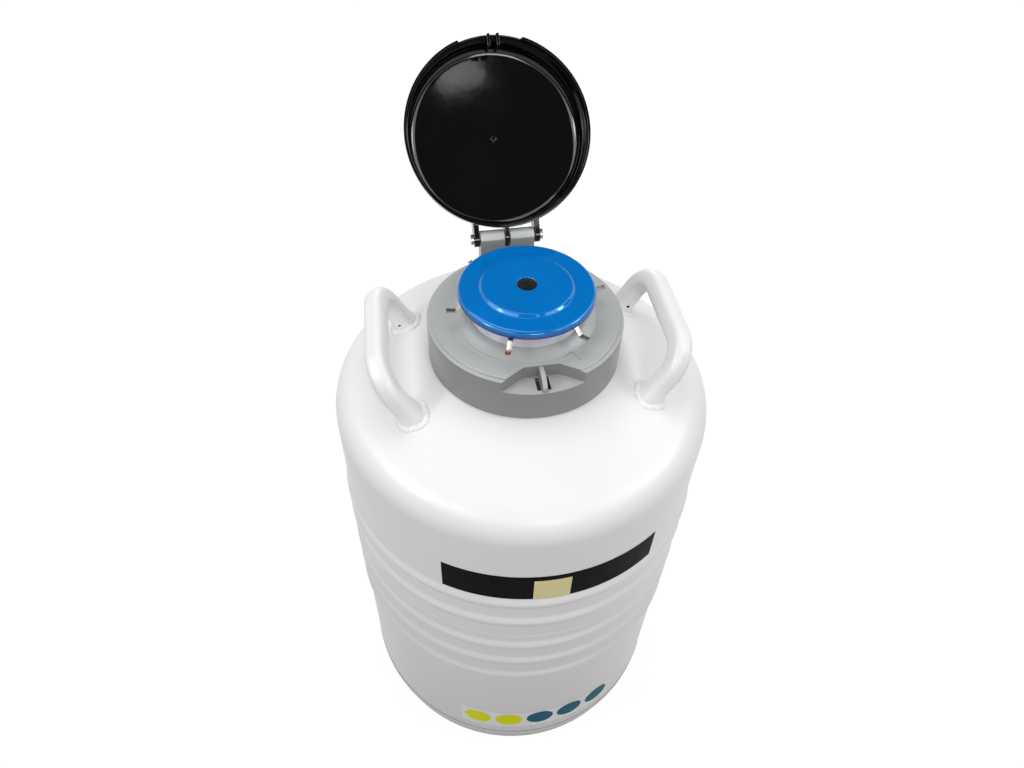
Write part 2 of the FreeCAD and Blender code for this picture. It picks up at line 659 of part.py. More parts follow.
strip_in = strip_out - s.strip_thick
plug = strip_in - s.plug_gap
plug_foot = ring_top - s.plug_length
keep("neck_plug", turned("neck_plug", [
    (0, plug_foot), (plug - s.cap_disc_rise, plug_foot), (plug, plug_foot + s.cap_disc_rise),
    (plug, ring_top), (0, ring_top)]), "Foam neck plug")

# Canisters on their locating plate, each with a strip that rises through the
# neck, crosses the index ring and ends in an upturned hook.
circle = strip_out + s.canister_radius
rim_inner = s.canister_radius + s.rim_gap
rim_outer = rim_inner + s.rim_wall
plate_floor = pot_floor + s.bond_gap
plate_radius = pot_bore - s.plate_gap
plate_top = plate_floor + s.plate_thick
plate_parts = [turned("plate_disc", [
    (0, plate_floor), (plate_radius, plate_floor), (plate_radius, plate_top), (0, plate_top)])]
can_foot = plate_top + s.canister_seat
can_top = can_foot + s.canister_length
can_bore = s.canister_radius - s.canister_wall
strip_foot = can_top - s.strip_lap
strip_low = ring_top - s.ring_notch + s.strip_clear
strip_high = strip_low + s.strip_thick
hook_bend = s.cap_radius - s.hook_inset
hook_end = s.cap_radius + s.hook_out
hook_low = strip_low - s.hook_drop
hook_turn = hook_bend + s.hook_fall
for count in range(6):
    angle = s.canister_turn + 60 * count
    x, y = circle * cosine(angle), circle * sine(angle)
    locating_rim = turned(f"plate_rim_{count + 1}", [
        (rim_inner, plate_floor), (rim_outer, plate_floor),
        (rim_outer, plate_top + s.rim_height), (rim_inner, plate_top + s.rim_height)])
    plate_parts.append(place(locating_rim, x, y, 0))
    tube = turned(f"canister_{count + 1}", [
        (can_bore, can_foot), (s.canister_radius, can_foot),
        (s.canister_radius, can_top), (can_bore, can_top)])
    keep(f"canister_{count + 1}", place(tube, x, y, 0), f"Canister {count + 1}")
    base = turned(f"canister_base_{count + 1}", [
        (s.drain_radius, can_foot), (can_bore, can_foot),
        (can_bore, can_foot + s.canister_wall), (s.drain_radius, can_foot + s.canister_wall)])
    keep(f"canister_base_{count + 1}", place(base, x, y, 0), f"Canister base {count + 1}")
    strip = slab(f"canister_handle_{count + 1}", [
        (strip_in, strip_foot), (strip_out, strip_foot), (strip_out, strip_low),
        (hook_bend - s.strip_thick / 2, strip_low), (hook_turn - s.strip_thick / 2, hook_low),
        (hook_end, hook_low + s.hook_tip),
        (hook_end - s.strip_thick / 3, hook_low + s.hook_tip + s.strip_thick),
        (hook_turn, hook_low + s.strip_thick), (hook_bend + s.strip_thick / 4, strip_high),
        (strip_in, strip_high)],
        s.strip_half * 2, rotation=UPRIGHT, middle=True)
    keep(f"canister_handle_{count + 1}", place(strip, 0, 0, 0, angle),
         f"Canister handle {count + 1}")
keep("locating_plate", fuse("locating_plate", *plate_parts), "Canister locating plate")

# Hinge pin with a formed head at one end and a push-on head at the other.
arm_inner = s.lug_outer + s.arm_gap
arm_outer = arm_inner + s.arm_width
mid_half = s.lug_inner - s.arm_gap
pin_right = arm_outer + s.side_gap
pin_left = -pin_right
pin_end = s.pin_head_thick - s.side_gap * 2
keep("hinge_pin", fuse(
    "hinge_pin",
    rod("pin_shank", s.pin_radius, pin_right * 2 + pin_end, pin_left, hinge_reach,
        hinge_height, "X"),
    rod("pin_head", s.pin_head, s.pin_head_thick, pin_left - s.pin_head_thick, hinge_reach,
        hinge_height, "X")), "Hinge pin")
keep("hinge_pin_cap", cut(
    "hinge_pin_cap",
    rod("pin_cap_blank", s.pin_head, s.pin_head_thick, pin_right, hinge_reach, hinge_height, "X"),
    rod("pin_cap_bore", s.pin_radius, pin_end, pin_right, hinge_reach, hinge_height, "X")),
    "Hinge pin cap")

# Lid: a deep dish with a stepped rim, drawn shut and taken about the hinge
# pin, so that one turn about X opens it.
rim = ledge + s.lid_seat_gap
lip_radius = s.collar_radius - s.lip_inset
lip_top = rim + s.lip_height
body = lip_radius - s.lip_width
rim_bore = deck + s.lid_clear
lid_inside = body - s.lid_wall
knee_height = rim + s.lid_depth
knee = s.lid_knuckle
crown_turn = Size(f"asin(({body.formula} - {knee.formula}) / (sizes.lid_crown - {knee.formula}))",
                  math.degrees(math.asin((body.value - knee.value) /
                                         (s.lid_crown.value - knee.value))))


def crown(radius, knuckle, wall_radius):
    """Knuckle end and apex of the dished top for one face of the lid."""
    across = wall_radius - knuckle + knuckle * sine(crown_turn)
    height = knee_height + knuckle * cosine(crown_turn)
    return across, height, height + radius * (Size("1", 1) - cosine(crown_turn))


outer_x, outer_z, outer_apex = crown(s.lid_crown, knee, body)
inner_x, inner_z, inner_apex = crown(s.lid_crown - s.lid_wall, knee - s.lid_wall, lid_inside)
dish = turned("lid_dish", [
    (rim_bore, rim), (lip_radius, rim), (lip_radius, lip_top),
    (body + s.lip_width / 6, lip_top + s.lip_width * 0.65), (body, knee_height, knee),
    (outer_x, outer_z, s.lid_crown), (0, outer_apex),
    (0, inner_apex, -(s.lid_crown - s.lid_wall)),
    (inner_x, inner_z, -(knee - s.lid_wall)), (lid_inside, knee_height),
    (lid_inside + s.lid_wall / 4, rim + s.lip_height * 0.65), (rim_bore, rim + s.lid_wall)])
place(dish, 0, -hinge_reach, -hinge_height)


def lid_box(name, length, width, height, x, y, z):
    """A box given at its shut position and moved into the lid's frame."""
    return box(name, length, width, height, x, y - hinge_reach, z - hinge_height)


arm = s.arm_radius
side_web = hinge_reach - root(body * body - arm_outer * arm_outer) + s.arm_bite
mid_web = hinge_reach - lid_inside - s.lid_wall / 3
lid_parts = []
for word, start, width, web in (("left", -arm_outer, s.arm_width, side_web),
                                ("middle", -mid_half, mid_half * 2, mid_web),
                                ("right", arm_inner, s.arm_width, side_web)):
    lid_parts.append(rod(f"arm_{word}_eye", arm, width, start, 0, 0, "X"))
    lid_parts.append(box(f"arm_{word}_web", width, web, arm * 2, start, -web, -arm))
tail = box("tail_bar", mid_half * 2, s.tail_half * 2, s.tail_length, -mid_half, -s.tail_half,
           -s.tail_length)
lid_parts.append(place(fuse("tail", tail, rod("tail_root", s.tail_half, mid_half * 2,
                                              -mid_half, 0, 0, "X")),
                       0, 0, 0, s.open_angle, (1, 0, 0)))

# The two prongs pass down through the slots either side of the staple; a webs
# ties each to the lid's front wall above the gap in the lip.
prong_inner = s.slot_inner + s.prong_gap
prong_width = s.slot_outer - s.slot_inner - s.prong_gap * 2
prong_near = slot_near + s.prong_slack
prong_far = slot_far - s.prong_slack
prong_web = rim + s.lip_height * 0.6
web_far = lid_inside + s.lid_wall / 2
for word, start in (("left", -prong_inner - prong_width), ("right", prong_inner)):
    lid_parts.append(lid_box(f"prong_{word}", prong_width, prong_far - prong_near,
                             s.prong_drop + s.lip_height * 2, start, -prong_far,
                             rim - s.prong_drop))
    lid_parts.append(lid_box(f"prong_{word}_web", prong_width, web_far - prong_near - s.prong_slack,
                             s.lid_depth - s.lip_height * 1.8, start, -web_far, prong_web))
lid_parts.append(rod("lid_boss", s.lid_boss, s.lid_boss / 2, 0, -hinge_reach,
                     inner_apex - hinge_height - s.lid_boss * 0.4))
gap_ring = doc.addObject("Part::Cylinder", "lip_gap_sector")
for prop, item in (("Radius", s.collar_radius + s.lip_height), ("Height", s.lip_height * 1.6),
                   ("Angle", s.lip_gap_angle)):
    bind(gap_ring, prop, item)
place(gap_ring, 0, -hinge_reach, rim - s.lid_seat_gap * 6 - hinge_height,
      -s.lip_gap_angle / 2 - 90)
core = rod("lip_gap_core", body + s.lip_width / 6, s.lid_depth, 0, -hinge_reach,
           rim + s.lid_wall * 1.25 - hinge_height)
lid_bores = fuse(
    "lid_bores",
    rod("lid_pin_bore", s.pin_radius + s.pin_gap, arm_outer * 3, arm_outer * -1.5, 0, 0, "X"),
    rod("prong_bore", s.padlock_bore / 2 + s.pin_gap, s.slot_outer * 4, s.slot_outer * -2,
        -hinge_reach - padlock_reach, padlock_height - hinge_height, "X"))
lid_shell = cut("lid_shell", dish, cut("lip_gap", gap_ring, core))
lid = cut("lid", fuse("lid_blank", lid_shell, *lid_parts), lid_bores)
keep("lid", place(lid, 0, hinge_reach, hinge_height, -s.open_angle, (1, 0, 0)), "Lid")

doc.recompute()
faulty = [obj.Name for obj in doc.Objects if {"Invalid", "Error"} & set(obj.State)]
if faulty:
    raise RuntimeError("not computed: " + ", ".join(faulty))
for name, obj in nodes.items():
    shape = obj.Shape
    if shape.isNull() or not shape.isValid() or not shape.Solids:
        raise RuntimeError(name + " has no valid solid")
    shape.exportStep(f"parts/{name}.step")
    span = shape.BoundBox
    print(f"{name:20s} solids {len(shape.Solids)}  x {span.XMin:8.2f} {span.XMax:8.2f}"
          f"  y {span.YMin:8.2f} {span.YMax:8.2f}  z {span.ZMin:8.2f} {span.ZMax:8.2f}")
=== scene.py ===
import math

import bmesh
import bpy
import numpy as np
from mathutils import Matrix, Vector


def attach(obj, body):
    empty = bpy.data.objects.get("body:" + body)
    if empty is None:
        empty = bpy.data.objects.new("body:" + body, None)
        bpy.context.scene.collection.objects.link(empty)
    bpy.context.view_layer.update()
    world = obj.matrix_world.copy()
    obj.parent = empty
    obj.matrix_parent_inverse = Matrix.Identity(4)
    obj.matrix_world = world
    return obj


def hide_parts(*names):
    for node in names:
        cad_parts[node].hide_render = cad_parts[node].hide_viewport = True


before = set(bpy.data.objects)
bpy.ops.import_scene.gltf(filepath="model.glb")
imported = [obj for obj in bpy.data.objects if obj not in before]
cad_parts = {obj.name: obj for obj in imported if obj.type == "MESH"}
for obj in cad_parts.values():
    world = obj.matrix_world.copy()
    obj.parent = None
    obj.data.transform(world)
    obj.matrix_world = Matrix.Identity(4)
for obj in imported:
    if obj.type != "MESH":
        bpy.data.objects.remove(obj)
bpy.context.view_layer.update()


# --- Outer vessel -----------------------------------------------------------
# Rolled aluminium barrel with five beads, a rounded shoulder, a straight cone
# and the neck spout, closed below by a pressed pan that is welded on at a
# fine seam.  The whole is sprayed with gloss white two-part paint.

def linear(code):
    """Linear RGBA of an sRGB hex colour: c/12.92 below 0.04045, else ((c+0.055)/1.055)^2.4."""
    values = np.array([int(code[place:place + 2], 16) for place in (1, 3, 5)]) / 255
    curve = np.where(values <= 0.04045, values / 12.92, ((values + 0.055) / 1.055) ** 2.4)
    return (*curve.tolist(), 1.0)


def add(tree, kind, inputs=None, stops=(), easing="EASE", **settings):
    """Add a shader node, or set up one that is there.

    settings are its properties, stops a ramp's (place, hex colour) pairs, and
    inputs its sockets' values or what is linked to them: a socket, or a node
    for its first output.  A noise's scale is 1000 over its grain in mm.
    """
    made = tree.nodes.new("ShaderNode" + kind) if isinstance(kind, str) else kind
    for key, value in settings.items():
        setattr(made, key, value)
    if stops:
        ramp = made.color_ramp
        ramp.interpolation = easing
        while len(ramp.elements) < len(stops):
            ramp.elements.new(0.5)
        for element, (place, code) in zip(ramp.elements, stops):
            element.position, element.color = place, linear(code)
    for key, value in (inputs or {}).items():
        source = value.outputs[0] if isinstance(value, bpy.types.Node) else value
        if isinstance(source, bpy.types.NodeSocket):
            tree.links.new(source, made.inputs[key])
        else:
            made.inputs[key].default_value = source
    return made


def finish_of(name, inputs):
    """A new material and its tree, with the constant inputs set on the Principled shader."""
    made = bpy.data.materials.new(name)
    made.use_nodes = True
    shader = made.node_tree.nodes["Principled BSDF"]
    for key, value in inputs.items():
        shader.inputs[key].default_value = value
    return made, made.node_tree, shader


def rounded(points, count=6):
    """A closed outline whose corners are arcs.

    Each point is (x, y, radius); an arc of that radius touches both sides of
    its corner, starting radius * tan(turn / 2) before it.
    """
    points = np.array(points, float)
    places, radii = points[:, :2], points[:, 2]
    before = np.roll(places, 1, 0) - places
    after = np.roll(places, -1, 0) - places
    before /= np.linalg.norm(before, axis=1)[:, None]
    after /= np.linalg.norm(after, axis=1)[:, None]
    half = np.arccos(np.clip((before * after).sum(1), -1, 1)) / 2
    reach = radii / np.tan(half)
    share = np.linspace(0, 1, count)[None, :, None]
    start = (places + before * reach[:, None])[:, None]
    stop = (places + after * reach[:, None])[:, None]
    middle = places + (before + after) / np.maximum(
        np.linalg.norm(before + after, axis=1), 1e-9)[:, None] * (radii / np.sin(half))[:, None]
    middle = middle[:, None]
    line = start + (stop - start) * share
    arc = line - middle
    length = np.linalg.norm(arc, axis=2, keepdims=True)
    curved = middle + arc / np.maximum(length, 1e-9) * radii[:, None, None]
    kept = np.where(radii[:, None, None] > 0, curved, places[:, None])
    flat = kept.reshape(-1, 2)
    step = np.linalg.norm(flat - np.roll(flat, 1, 0), axis=1)
    return flat[step > 1e-7]


def surface(name, grid, wrap_rows=True, wrap_columns=True, sharp=32.0):
    """A mesh from a grid of points, rows by columns, closed on itself where it wraps.

    Rows that fall on one point become a pole.  Faces are turned outwards and
    edges that turn more than sharp degrees are kept crisp.
    """
    rows, columns = grid.shape[:2]
    row = np.arange(rows if wrap_rows else rows - 1)[:, None]
    column = np.arange(columns if wrap_columns else columns - 1)[None, :]
    below, right = (row + 1) % rows, (column + 1) % columns
    faces = np.stack([row * columns + column, row * columns + right,
                      below * columns + right, below * columns + column], -1)
    mesh = bpy.data.meshes.new(name)
    mesh.from_pydata(grid.reshape(-1, 3).tolist(), [], faces.reshape(-1, 4).tolist())
    return smoothed(mesh, sharp, not wrap_columns and wrap_rows)


def smoothed(mesh, sharp, close_ends=False):
    """Merge doubled points, close open ends, turn faces outwards and shade smooth."""
    work = bmesh.new()
    work.from_mesh(mesh)
    bmesh.ops.remove_doubles(work, verts=work.verts, dist=2e-6)
    if close_ends:
        bmesh.ops.holes_fill(work, edges=[edge for edge in work.edges if edge.is_boundary])
    bmesh.ops.recalc_face_normals(work, faces=work.faces)
    work.to_mesh(mesh)
    work.free()
    mesh.shade_smooth()
    mesh.set_sharp_from_angle(angle=math.radians(sharp))
    return mesh


def lathe(profile, turns=240):
    """Turn a closed (radius, height) profile in mm about the vertical axis: r cos a, r sin a, z."""
    angle = np.linspace(0, 2 * math.pi, turns, endpoint=False)[None, :]
    radius, height = profile[:, :1] / 1000.0, profile[:, 1:] / 1000.0
    return np.stack([radius * np.cos(angle), radius * np.sin(angle),
                     height + 0 * angle], -1)


def piece(mesh, body, slot, material, *replaced):
    """Put a finished mesh on show: it rides on body and stands for the replaced nodes."""
    made = bpy.data.objects.new(mesh.name, mesh)
    bpy.context.scene.collection.objects.link(made)
    made.data.materials.append(material)
    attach(made, body)
    if replaced:
        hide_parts(*replaced)
    return made


def sprayed(name, band, foot, top, gloss):
    """Two-part polyurethane over a faint orange peel of 6 mm, its colour painted darker
    towards the foot as painted shade: band is its colour under the foot seam at 43 mm,
    foot over it and top at 450 mm; gloss is the specular level."""
    made, tree, shader = finish_of(name, {
        "Roughness": 0.3, "IOR": 1.5, "Specular IOR Level": gloss})
    spot = add(tree, "TexCoord").outputs["Object"]
    rise = add(tree, "SeparateXYZ", {"Vector": spot}).outputs["Z"]
    # Painted shade: the colour darkens from top at 450 mm down to foot, and steps down to the darker
    # band below the seam at 43 mm.
    painted_shade_height = add(tree, "MapRange", {"Value": rise, "From Min": 0.0, "From Max": 0.45})
    tint = add(tree, "ValToRGB", {"Fac": painted_shade_height}, ((0.093, band), (0.098, foot), (1.0, top)), "LINEAR")
    cloud = add(tree, "TexNoise", {"Vector": spot, "Scale": 1000 / 160, "Detail": 2, "Roughness": 0.55})
    wear = add(tree, "TexNoise", {"Vector": spot, "Scale": 1000 / 200, "Detail": 1, "Roughness": 0.55})
    peel = add(tree, "TexNoise", {"Vector": spot, "Scale": 1000 / 6, "Detail": 0, "Roughness": 0.55})
    shade = add(tree, "MapRange", {"Value": cloud, "From Min": 0.3, "From Max": 0.7,
                                   "To Min": 0.99, "To Max": 1.01})
    add(tree, shader, {
        "Base Color": add(tree, "HueSaturation", {"Color": tint, "Value": shade}),
        "Roughness": add(tree, "MapRange", {"Value": wear, "From Min": 0.3, "From Max": 0.7,
                                            "To Min": 0.28, "To Max": 0.32}),
        "Normal": add(tree, "Bump", {"Height": peel, "Distance": 0.01 / 1000, "Strength": 0.08})})
    return made


# The barrel has an even, bright gloss; the pan's coat is duller, and painted greyer as painted shade.
paint = sprayed("white_polyurethane_paint", "#cac7c7", "#d7d4d4", "#f1efef", 0.3)
dull_shaded_paint = sprayed("white_polyurethane_dull_coat_painted_shade", "#c3c0c0", "#cecbcb", "#f1efef", 0.1)

BARREL, SHOULDER_Z, ROUND = 231.5, 588.0, 42.0
SLOPE = math.radians(19.6)
cone_r = BARREL - ROUND + ROUND * math.sin(SLOPE)
cone_z = SHOULDER_Z + ROUND * math.cos(SLOPE)


def shoulder(radius):
    """Height of the cone at a radius: straight from the end of the rounding, in mm."""
    return cone_z + (cone_r - radius) * math.tan(SLOPE)


def barrel_radius(height):
    """Radius of the barrel wall: five arc beads 3.4 mm proud and 25 mm wide, a fine
    weld line at the girth and a 10.4 mm rounding in to the foot at the bottom."""
    radius = np.full_like(height, BARREL)
    for centre in (463.0, 417.0, 352.0, 306.0, 260.0):
        share = np.clip(np.abs(height - centre) / 12.5, 0, 1)
        radius += 3.4 * (0.5 + 0.5 * np.cos(math.pi * share)) ** 0.85
    radius += 0.5 * np.exp(-((height - 378.0) / 1.1) ** 2)
    tuck = np.clip((32.0 - height) / 10.4, 0, 1)
    return radius - 6.2 * (1 - np.sqrt(1 - tuck ** 2 * 0.96))


wall_z = np.unique(np.concatenate([np.linspace(21.6, 34, 14), np.linspace(34, 240, 30),
                                   np.linspace(240, 480, 140), np.linspace(480, SHOULDER_Z, 20),
                                   np.linspace(374, 382, 16)]))
bend = np.linspace(0, math.pi / 2 - SLOPE, 26)
outside = np.concatenate([
    np.stack([barrel_radius(wall_z), wall_z], 1),
    np.stack([BARREL - ROUND + ROUND * np.cos(bend), SHOULDER_Z + ROUND * np.sin(bend)], 1),
    [[150.0, shoulder(150.0)], [110.0, shoulder(110.0)], [72.0, shoulder(72.0)],
     [68.0, shoulder(68.0) + 2.5], [68.0, 700.0], [64.5, 700.0], [64.5, 668.0],
     [180.0, shoulder(180.0) - 4.0], [226.0, 590.0], [226.0, 36.0], [222.6, 27.0],
     [222.6, 21.6]]])
vessel_mesh = surface("vessel_shell", lathe(outside, 360), sharp=50)
piece(vessel_mesh, "vessel", "vessel_paint", paint, "outer_shell_lower", "outer_shell_upper",
      "neck_spout")

pan = rounded([(226.1, 21.4, 2.4), (221.0, 21.4, 0), (221.0, 3.0, 0), (0.0, 3.0, 0), (0.0, 0.0, 0),
               (225.2, 0.0, 3.0)])
piece(surface("foot_pan_skin", lathe(pan, 360), sharp=50), "vessel", "vessel_paint", dull_shaded_paint,
      "foot_pan")

# A fine bead round the foot at its seam, laid on the wall 43 mm up; its grey is painted shade for the
# seam's dark line.
seam_bead_shade, tree, shader = finish_of("grey_seam_bead_painted_shade", {
    "Roughness": 0.6, "IOR": 1.45, "Specular IOR Level": 0.1})
spot = add(tree, "TexCoord").outputs["Object"]
tint = add(tree, "TexNoise", {"Vector": spot, "Scale": 1000 / 15, "Detail": 3, "Roughness": 0.55})
grain = add(tree, "TexNoise", {"Vector": spot, "Scale": 1000 / 3, "Detail": 3, "Roughness": 0.55})
add(tree, shader, {
    # Painted shade: a grey darker than the paint, for the dark line along the seam.
    "Base Color": add(tree, "ValToRGB", {"Fac": tint}, ((0.3, "#a3a0a0"), (0.7, "#aba8a8"))),
    "Normal": add(tree, "Bump", {"Height": grain, "Distance": 0.1 / 1000,
                                 "Strength": 0.4})})
spin = np.linspace(0, 2 * math.pi, 10, endpoint=False)
seam = np.stack([231.3 + 0.8 * np.cos(spin), 43.0 + 1.3 * np.sin(spin)], 1)
piece(surface("foot_seam_bead_painted_shade", lathe(seam, 360), sharp=80), "vessel", "vessel_paint", seam_bead_shade)


# --- Carry handles ----------------------------------------------------------
# Drawn aluminium tube of rounded-square section, bent once at each end, set
# leaning outwards on the shoulder and painted with the vessel.  Each leg
# widens where it is dressed down to the weld.

def sweep(path, across, outline, grow=None):
    """Carry an (x, y) outline along a flat path.

    Each outline point lies x along the fixed direction across and y along
    the path's own normal, times grow at that place on the path.
    """
    tangent = np.gradient(path, axis=0)
    tangent /= np.linalg.norm(tangent, axis=1)[:, None]
    normal = np.cross(tangent, across)
    grow = np.ones((len(path), 2)) if grow is None else grow
    side = outline[None, :, :1] * grow[:, None, :1] * np.array(across)[None, None]
    rise = outline[None, :, 1:] * grow[:, None, 1:] * normal[:, None]
    return path[:, None] + side + rise


def bent(corners, radius, step):
    """A path through corners with arcs of radius, its points step apart, all in mm."""
    corners = np.array(corners, float)
    parts = [corners[:1]]
    for last, corner, following in zip(corners[:-2], corners[1:-1], corners[2:]):
        back = (last - corner) / np.linalg.norm(last - corner)
        ahead = (following - corner) / np.linalg.norm(following - corner)
        half = math.acos(float(np.clip(back @ ahead, -1, 1))) / 2
        reach = radius / math.tan(half)
        middle = corner + (back + ahead) / np.linalg.norm(back + ahead) * radius / math.sin(half)
        share = np.linspace(0, 1, 14)[:, None]
        chord = corner + back * reach * (1 - share) + ahead * reach * share - middle
        parts.append(middle + chord / np.linalg.norm(chord, axis=1)[:, None] * radius)
    line = np.concatenate(parts + [corners[-1:]])
    along = np.concatenate([[0], np.cumsum(np.linalg.norm(np.diff(line, axis=0), axis=1))])
    places = np.unique(np.concatenate([np.arange(0, along[-1], step), along]))
    return np.stack([np.interp(places, along, line[:, axis]) for axis in range(3)], 1)


REACH, SPAN, RISE, BEND = 138.0, 78.0, 69.0, 34.0
LEAN, TURN = math.radians(28.0), math.radians(-2.7)
foot_z = shoulder(math.hypot(REACH, SPAN))
tube_outline = rounded([(11.5, 13.0, 8.0), (-11.5, 13.0, 8.0), (-11.5, -13.0, 8.0),
                        (11.5, -13.0, 8.0)], 9)


def handle_place(points, mirror):
    """Lean a handle outwards about its foot line, put it on the shoulder and turn it."""
    leaned = np.stack([
        REACH + points[..., 0] * math.cos(LEAN) + points[..., 2] * math.sin(LEAN),
        points[..., 1],
        foot_z + points[..., 2] * math.cos(LEAN) - points[..., 0] * math.sin(LEAN)], -1)
    if mirror:
        leaned[..., 0] *= -1
    across, along = leaned[..., 0].copy(), leaned[..., 1].copy()
    leaned[..., 0] = across * math.cos(TURN) - along * math.sin(TURN)
    leaned[..., 1] = across * math.sin(TURN) + along * math.cos(TURN)
    return leaned / 1000.0


def flare(height):
    """How much a leg widens towards its foot: 1 above 24 mm, up by 0.22 and 0.12 at the weld."""
    low = np.clip(1 - (height - 2) / 22.0, 0, 1) ** 2
    return np.stack([1 + 0.22 * low, 1 + 0.12 * low], -1)


bar = bent([(0, -SPAN, -9), (0, -SPAN, RISE), (0, SPAN, RISE), (0, SPAN, -9)], BEND, 3.0)
handle_grid = sweep(bar, (1, 0, 0), tube_outline, flare(bar[:, 2]))
for side, mirror in (("left", True), ("right", False)):
    mesh = smoothed(surface(f"carry_handle_{side}", handle_place(handle_grid, mirror),
                            wrap_rows=False), 60, True)
    piece(mesh, "vessel", "vessel_paint", paint, f"handle_{side}")

# A vent, 3.8 mm across, in the side of each rear leg that faces forwards: a dark
# disc stands for the drilled hole, its points on a cone 0.1 mm high.
shadow, tree, shader = finish_of("unlit_bore", {"Roughness": 0.9, "Specular IOR Level": 0.0})
spot = add(tree, "TexCoord").outputs["Object"]
tint = add(tree, "TexNoise", {"Vector": spot, "Scale": 1000 / 2, "Detail": 3, "Roughness": 0.55})
add(tree, shader, {
    "Base Color": add(tree, "ValToRGB", {"Fac": tint}, ((0.3, "#040404"), (0.7, "#080808")))})
disc, spin = np.meshgrid(np.linspace(0, 1.9, 4), np.linspace(0, 2 * math.pi, 24, endpoint=False))
for side, mirror, across, above in (("left", True, 3.0, 11.0), ("right", False, 0.5, 14.5)):
    vent = np.stack([across + disc * np.cos(spin), SPAN - 13.65 + 0.1 * disc / 1.9,
                     above + disc * np.sin(spin)], -1)
    piece(surface(f"vent_bore_{side}", handle_place(vent, mirror), True, False), "vessel",
          "vessel_paint", shadow)


# Weld beads: a hand-laid fillet round each foot, rippled every 4 mm where the
# torch paused, and painted over with the rest.
def weld_line(side):
    """Where a leg meets the cone: each outline point slid along the leg until its
    height equals the shoulder's height at its radius."""
    spin = np.linspace(0, 2 * math.pi, 96, endpoint=False)
    outline = np.stack([np.cos(spin) * 11.5, np.sin(spin) * 13.0], 1)
    outline *= (1 / (np.abs(np.cos(spin)) ** 3.2 + np.abs(np.sin(spin)) ** 3.2) ** (1 / 3.2))[:, None]
    height = np.zeros(len(spin))
    for _ in range(12):
        grow = flare(height)
        local = np.stack([outline[:, 0] * grow[:, 0], side * SPAN + outline[:, 1] * grow[:, 1],
                          height], 1)
        spot = handle_place(local, False) * 1000.0
        height = height - (spot[:, 2] - shoulder(np.hypot(spot[:, 0], spot[:, 1]))) / 1.05
    return local, spin


for word, side in (("front", -1), ("rear", 1)):
    local, spin = weld_line(side)
    centre = local.mean(0)
    tangent = np.roll(local, -1, 0) - np.roll(local, 1, 0)
    tangent /= np.linalg.norm(tangent, axis=1)[:, None]
    out = local - centre
    out -= (out * tangent).sum(1)[:, None] * tangent
    out /= np.linalg.norm(out, axis=1)[:, None]
    up = np.cross(tangent, out)
    ring = np.linspace(0, 2 * math.pi, 14, endpoint=False)
    along = np.cumsum(np.linalg.norm(np.roll(local, -1, 0) - local, axis=1))
    ripple = 3.4 * (1 + 0.14 * np.sin(along * 2 * math.pi / 4.1) +
                    0.06 * np.sin(spin * 3 + side))
    bead = (local + out * 1.3)[:, None] + ripple[:, None, None] * (
        out[:, None] * np.cos(ring)[None, :, None] * 1.25 + up[:, None] * np.sin(ring)[None, :, None])
    for name, mirror in (("left", True), ("right", False)):
        piece(surface(f"weld_bead_{name}_{word}", handle_place(bead, mirror), sharp=80),
              "vessel", "vessel_paint", paint, f"weld_{name}_{word}")


# --- Decals -----------------------------------------------------------------
# Printed vinyl laid on the barrel: a black band over the top bead with a plain
# gold field, and a white strip of plain coloured dots near the foot.

def patch(name, low, high, left, right, lift, steps=(60, 6)):
    """A sheet on the barrel between two heights and two angles from -Y towards +X."""
    share, rise = np.meshgrid(np.linspace(0, 1, steps[0]), np.linspace(0, 1, steps[1]))
    height = low + (high - low) * rise
    angle = np.radians(left + (right - left) * share)
    radius = (BARREL + lift) / 1000.0
    return surface(name, np.stack([radius * np.sin(angle), -radius * np.cos(angle),
                                   height / 1000.0], -1), False, False)


def vinyl(name, code, edge):
    """Calendered vinyl film: even colour, soft gloss, faint stipple of 1.5 mm."""
    made, tree, shader = finish_of(name, {
        "Roughness": 0.35, "IOR": 1.46, "Specular IOR Level": 0.012})
    spot = add(tree, "TexCoord").outputs["Object"]
    tint = add(tree, "TexNoise", {"Vector": spot, "Scale": 1000 / 40, "Detail": 3, "Roughness": 0.55})
    wear = add(tree, "TexNoise", {"Vector": spot, "Scale": 1000 / 12, "Detail": 3, "Roughness": 0.55})
    grain = add(tree, "TexNoise", {"Vector": spot, "Scale": 1000 / 1.5, "Detail": 1, "Roughness": 0.55})
    add(tree, shader, {
        "Base Color": add(tree, "ValToRGB", {"Fac": tint}, ((0.25, code), (0.75, edge))),
        "Roughness": add(tree, "MapRange", {"Value": wear, "From Min": 0.3, "From Max": 0.7,
                                            "To Min": 0.3, "To Max": 0.42}),
        "Normal": add(tree, "Bump", {"Height": grain, "Distance": 0.01 / 1000,
                                     "Strength": 0.3})})
    return made


black_vinyl = vinyl("black_vinyl_film", "#0a0a0a", "#0e0e0e")
gold_vinyl = vinyl("gold_vinyl_film", "#efe5aa", "#f6ecb6")
white_vinyl = vinyl("white_vinyl_film", "#fbfbfb", "#ffffff")
teal_vinyl = vinyl("teal_vinyl_film", "#115f75", "#17677c")
yellow_vinyl = vinyl("yellow_vinyl_film", "#eef21a", "#f4f824")
piece(patch("name_band", 476.2, 526.8, -33.9, 32.8, 0.15), "vessel", "vessel_paint",
      black_vinyl)
piece(patch("gold_field", 476.8, 517.6, -6.8, 4.1, 0.3, steps=(12, 6)), "vessel", "vessel_paint",
      gold_vinyl)
piece(patch("label_strip", 64.0, 118.0, -29.8, 30.5, 0.15), "vessel", "vessel_paint", white_vinyl)


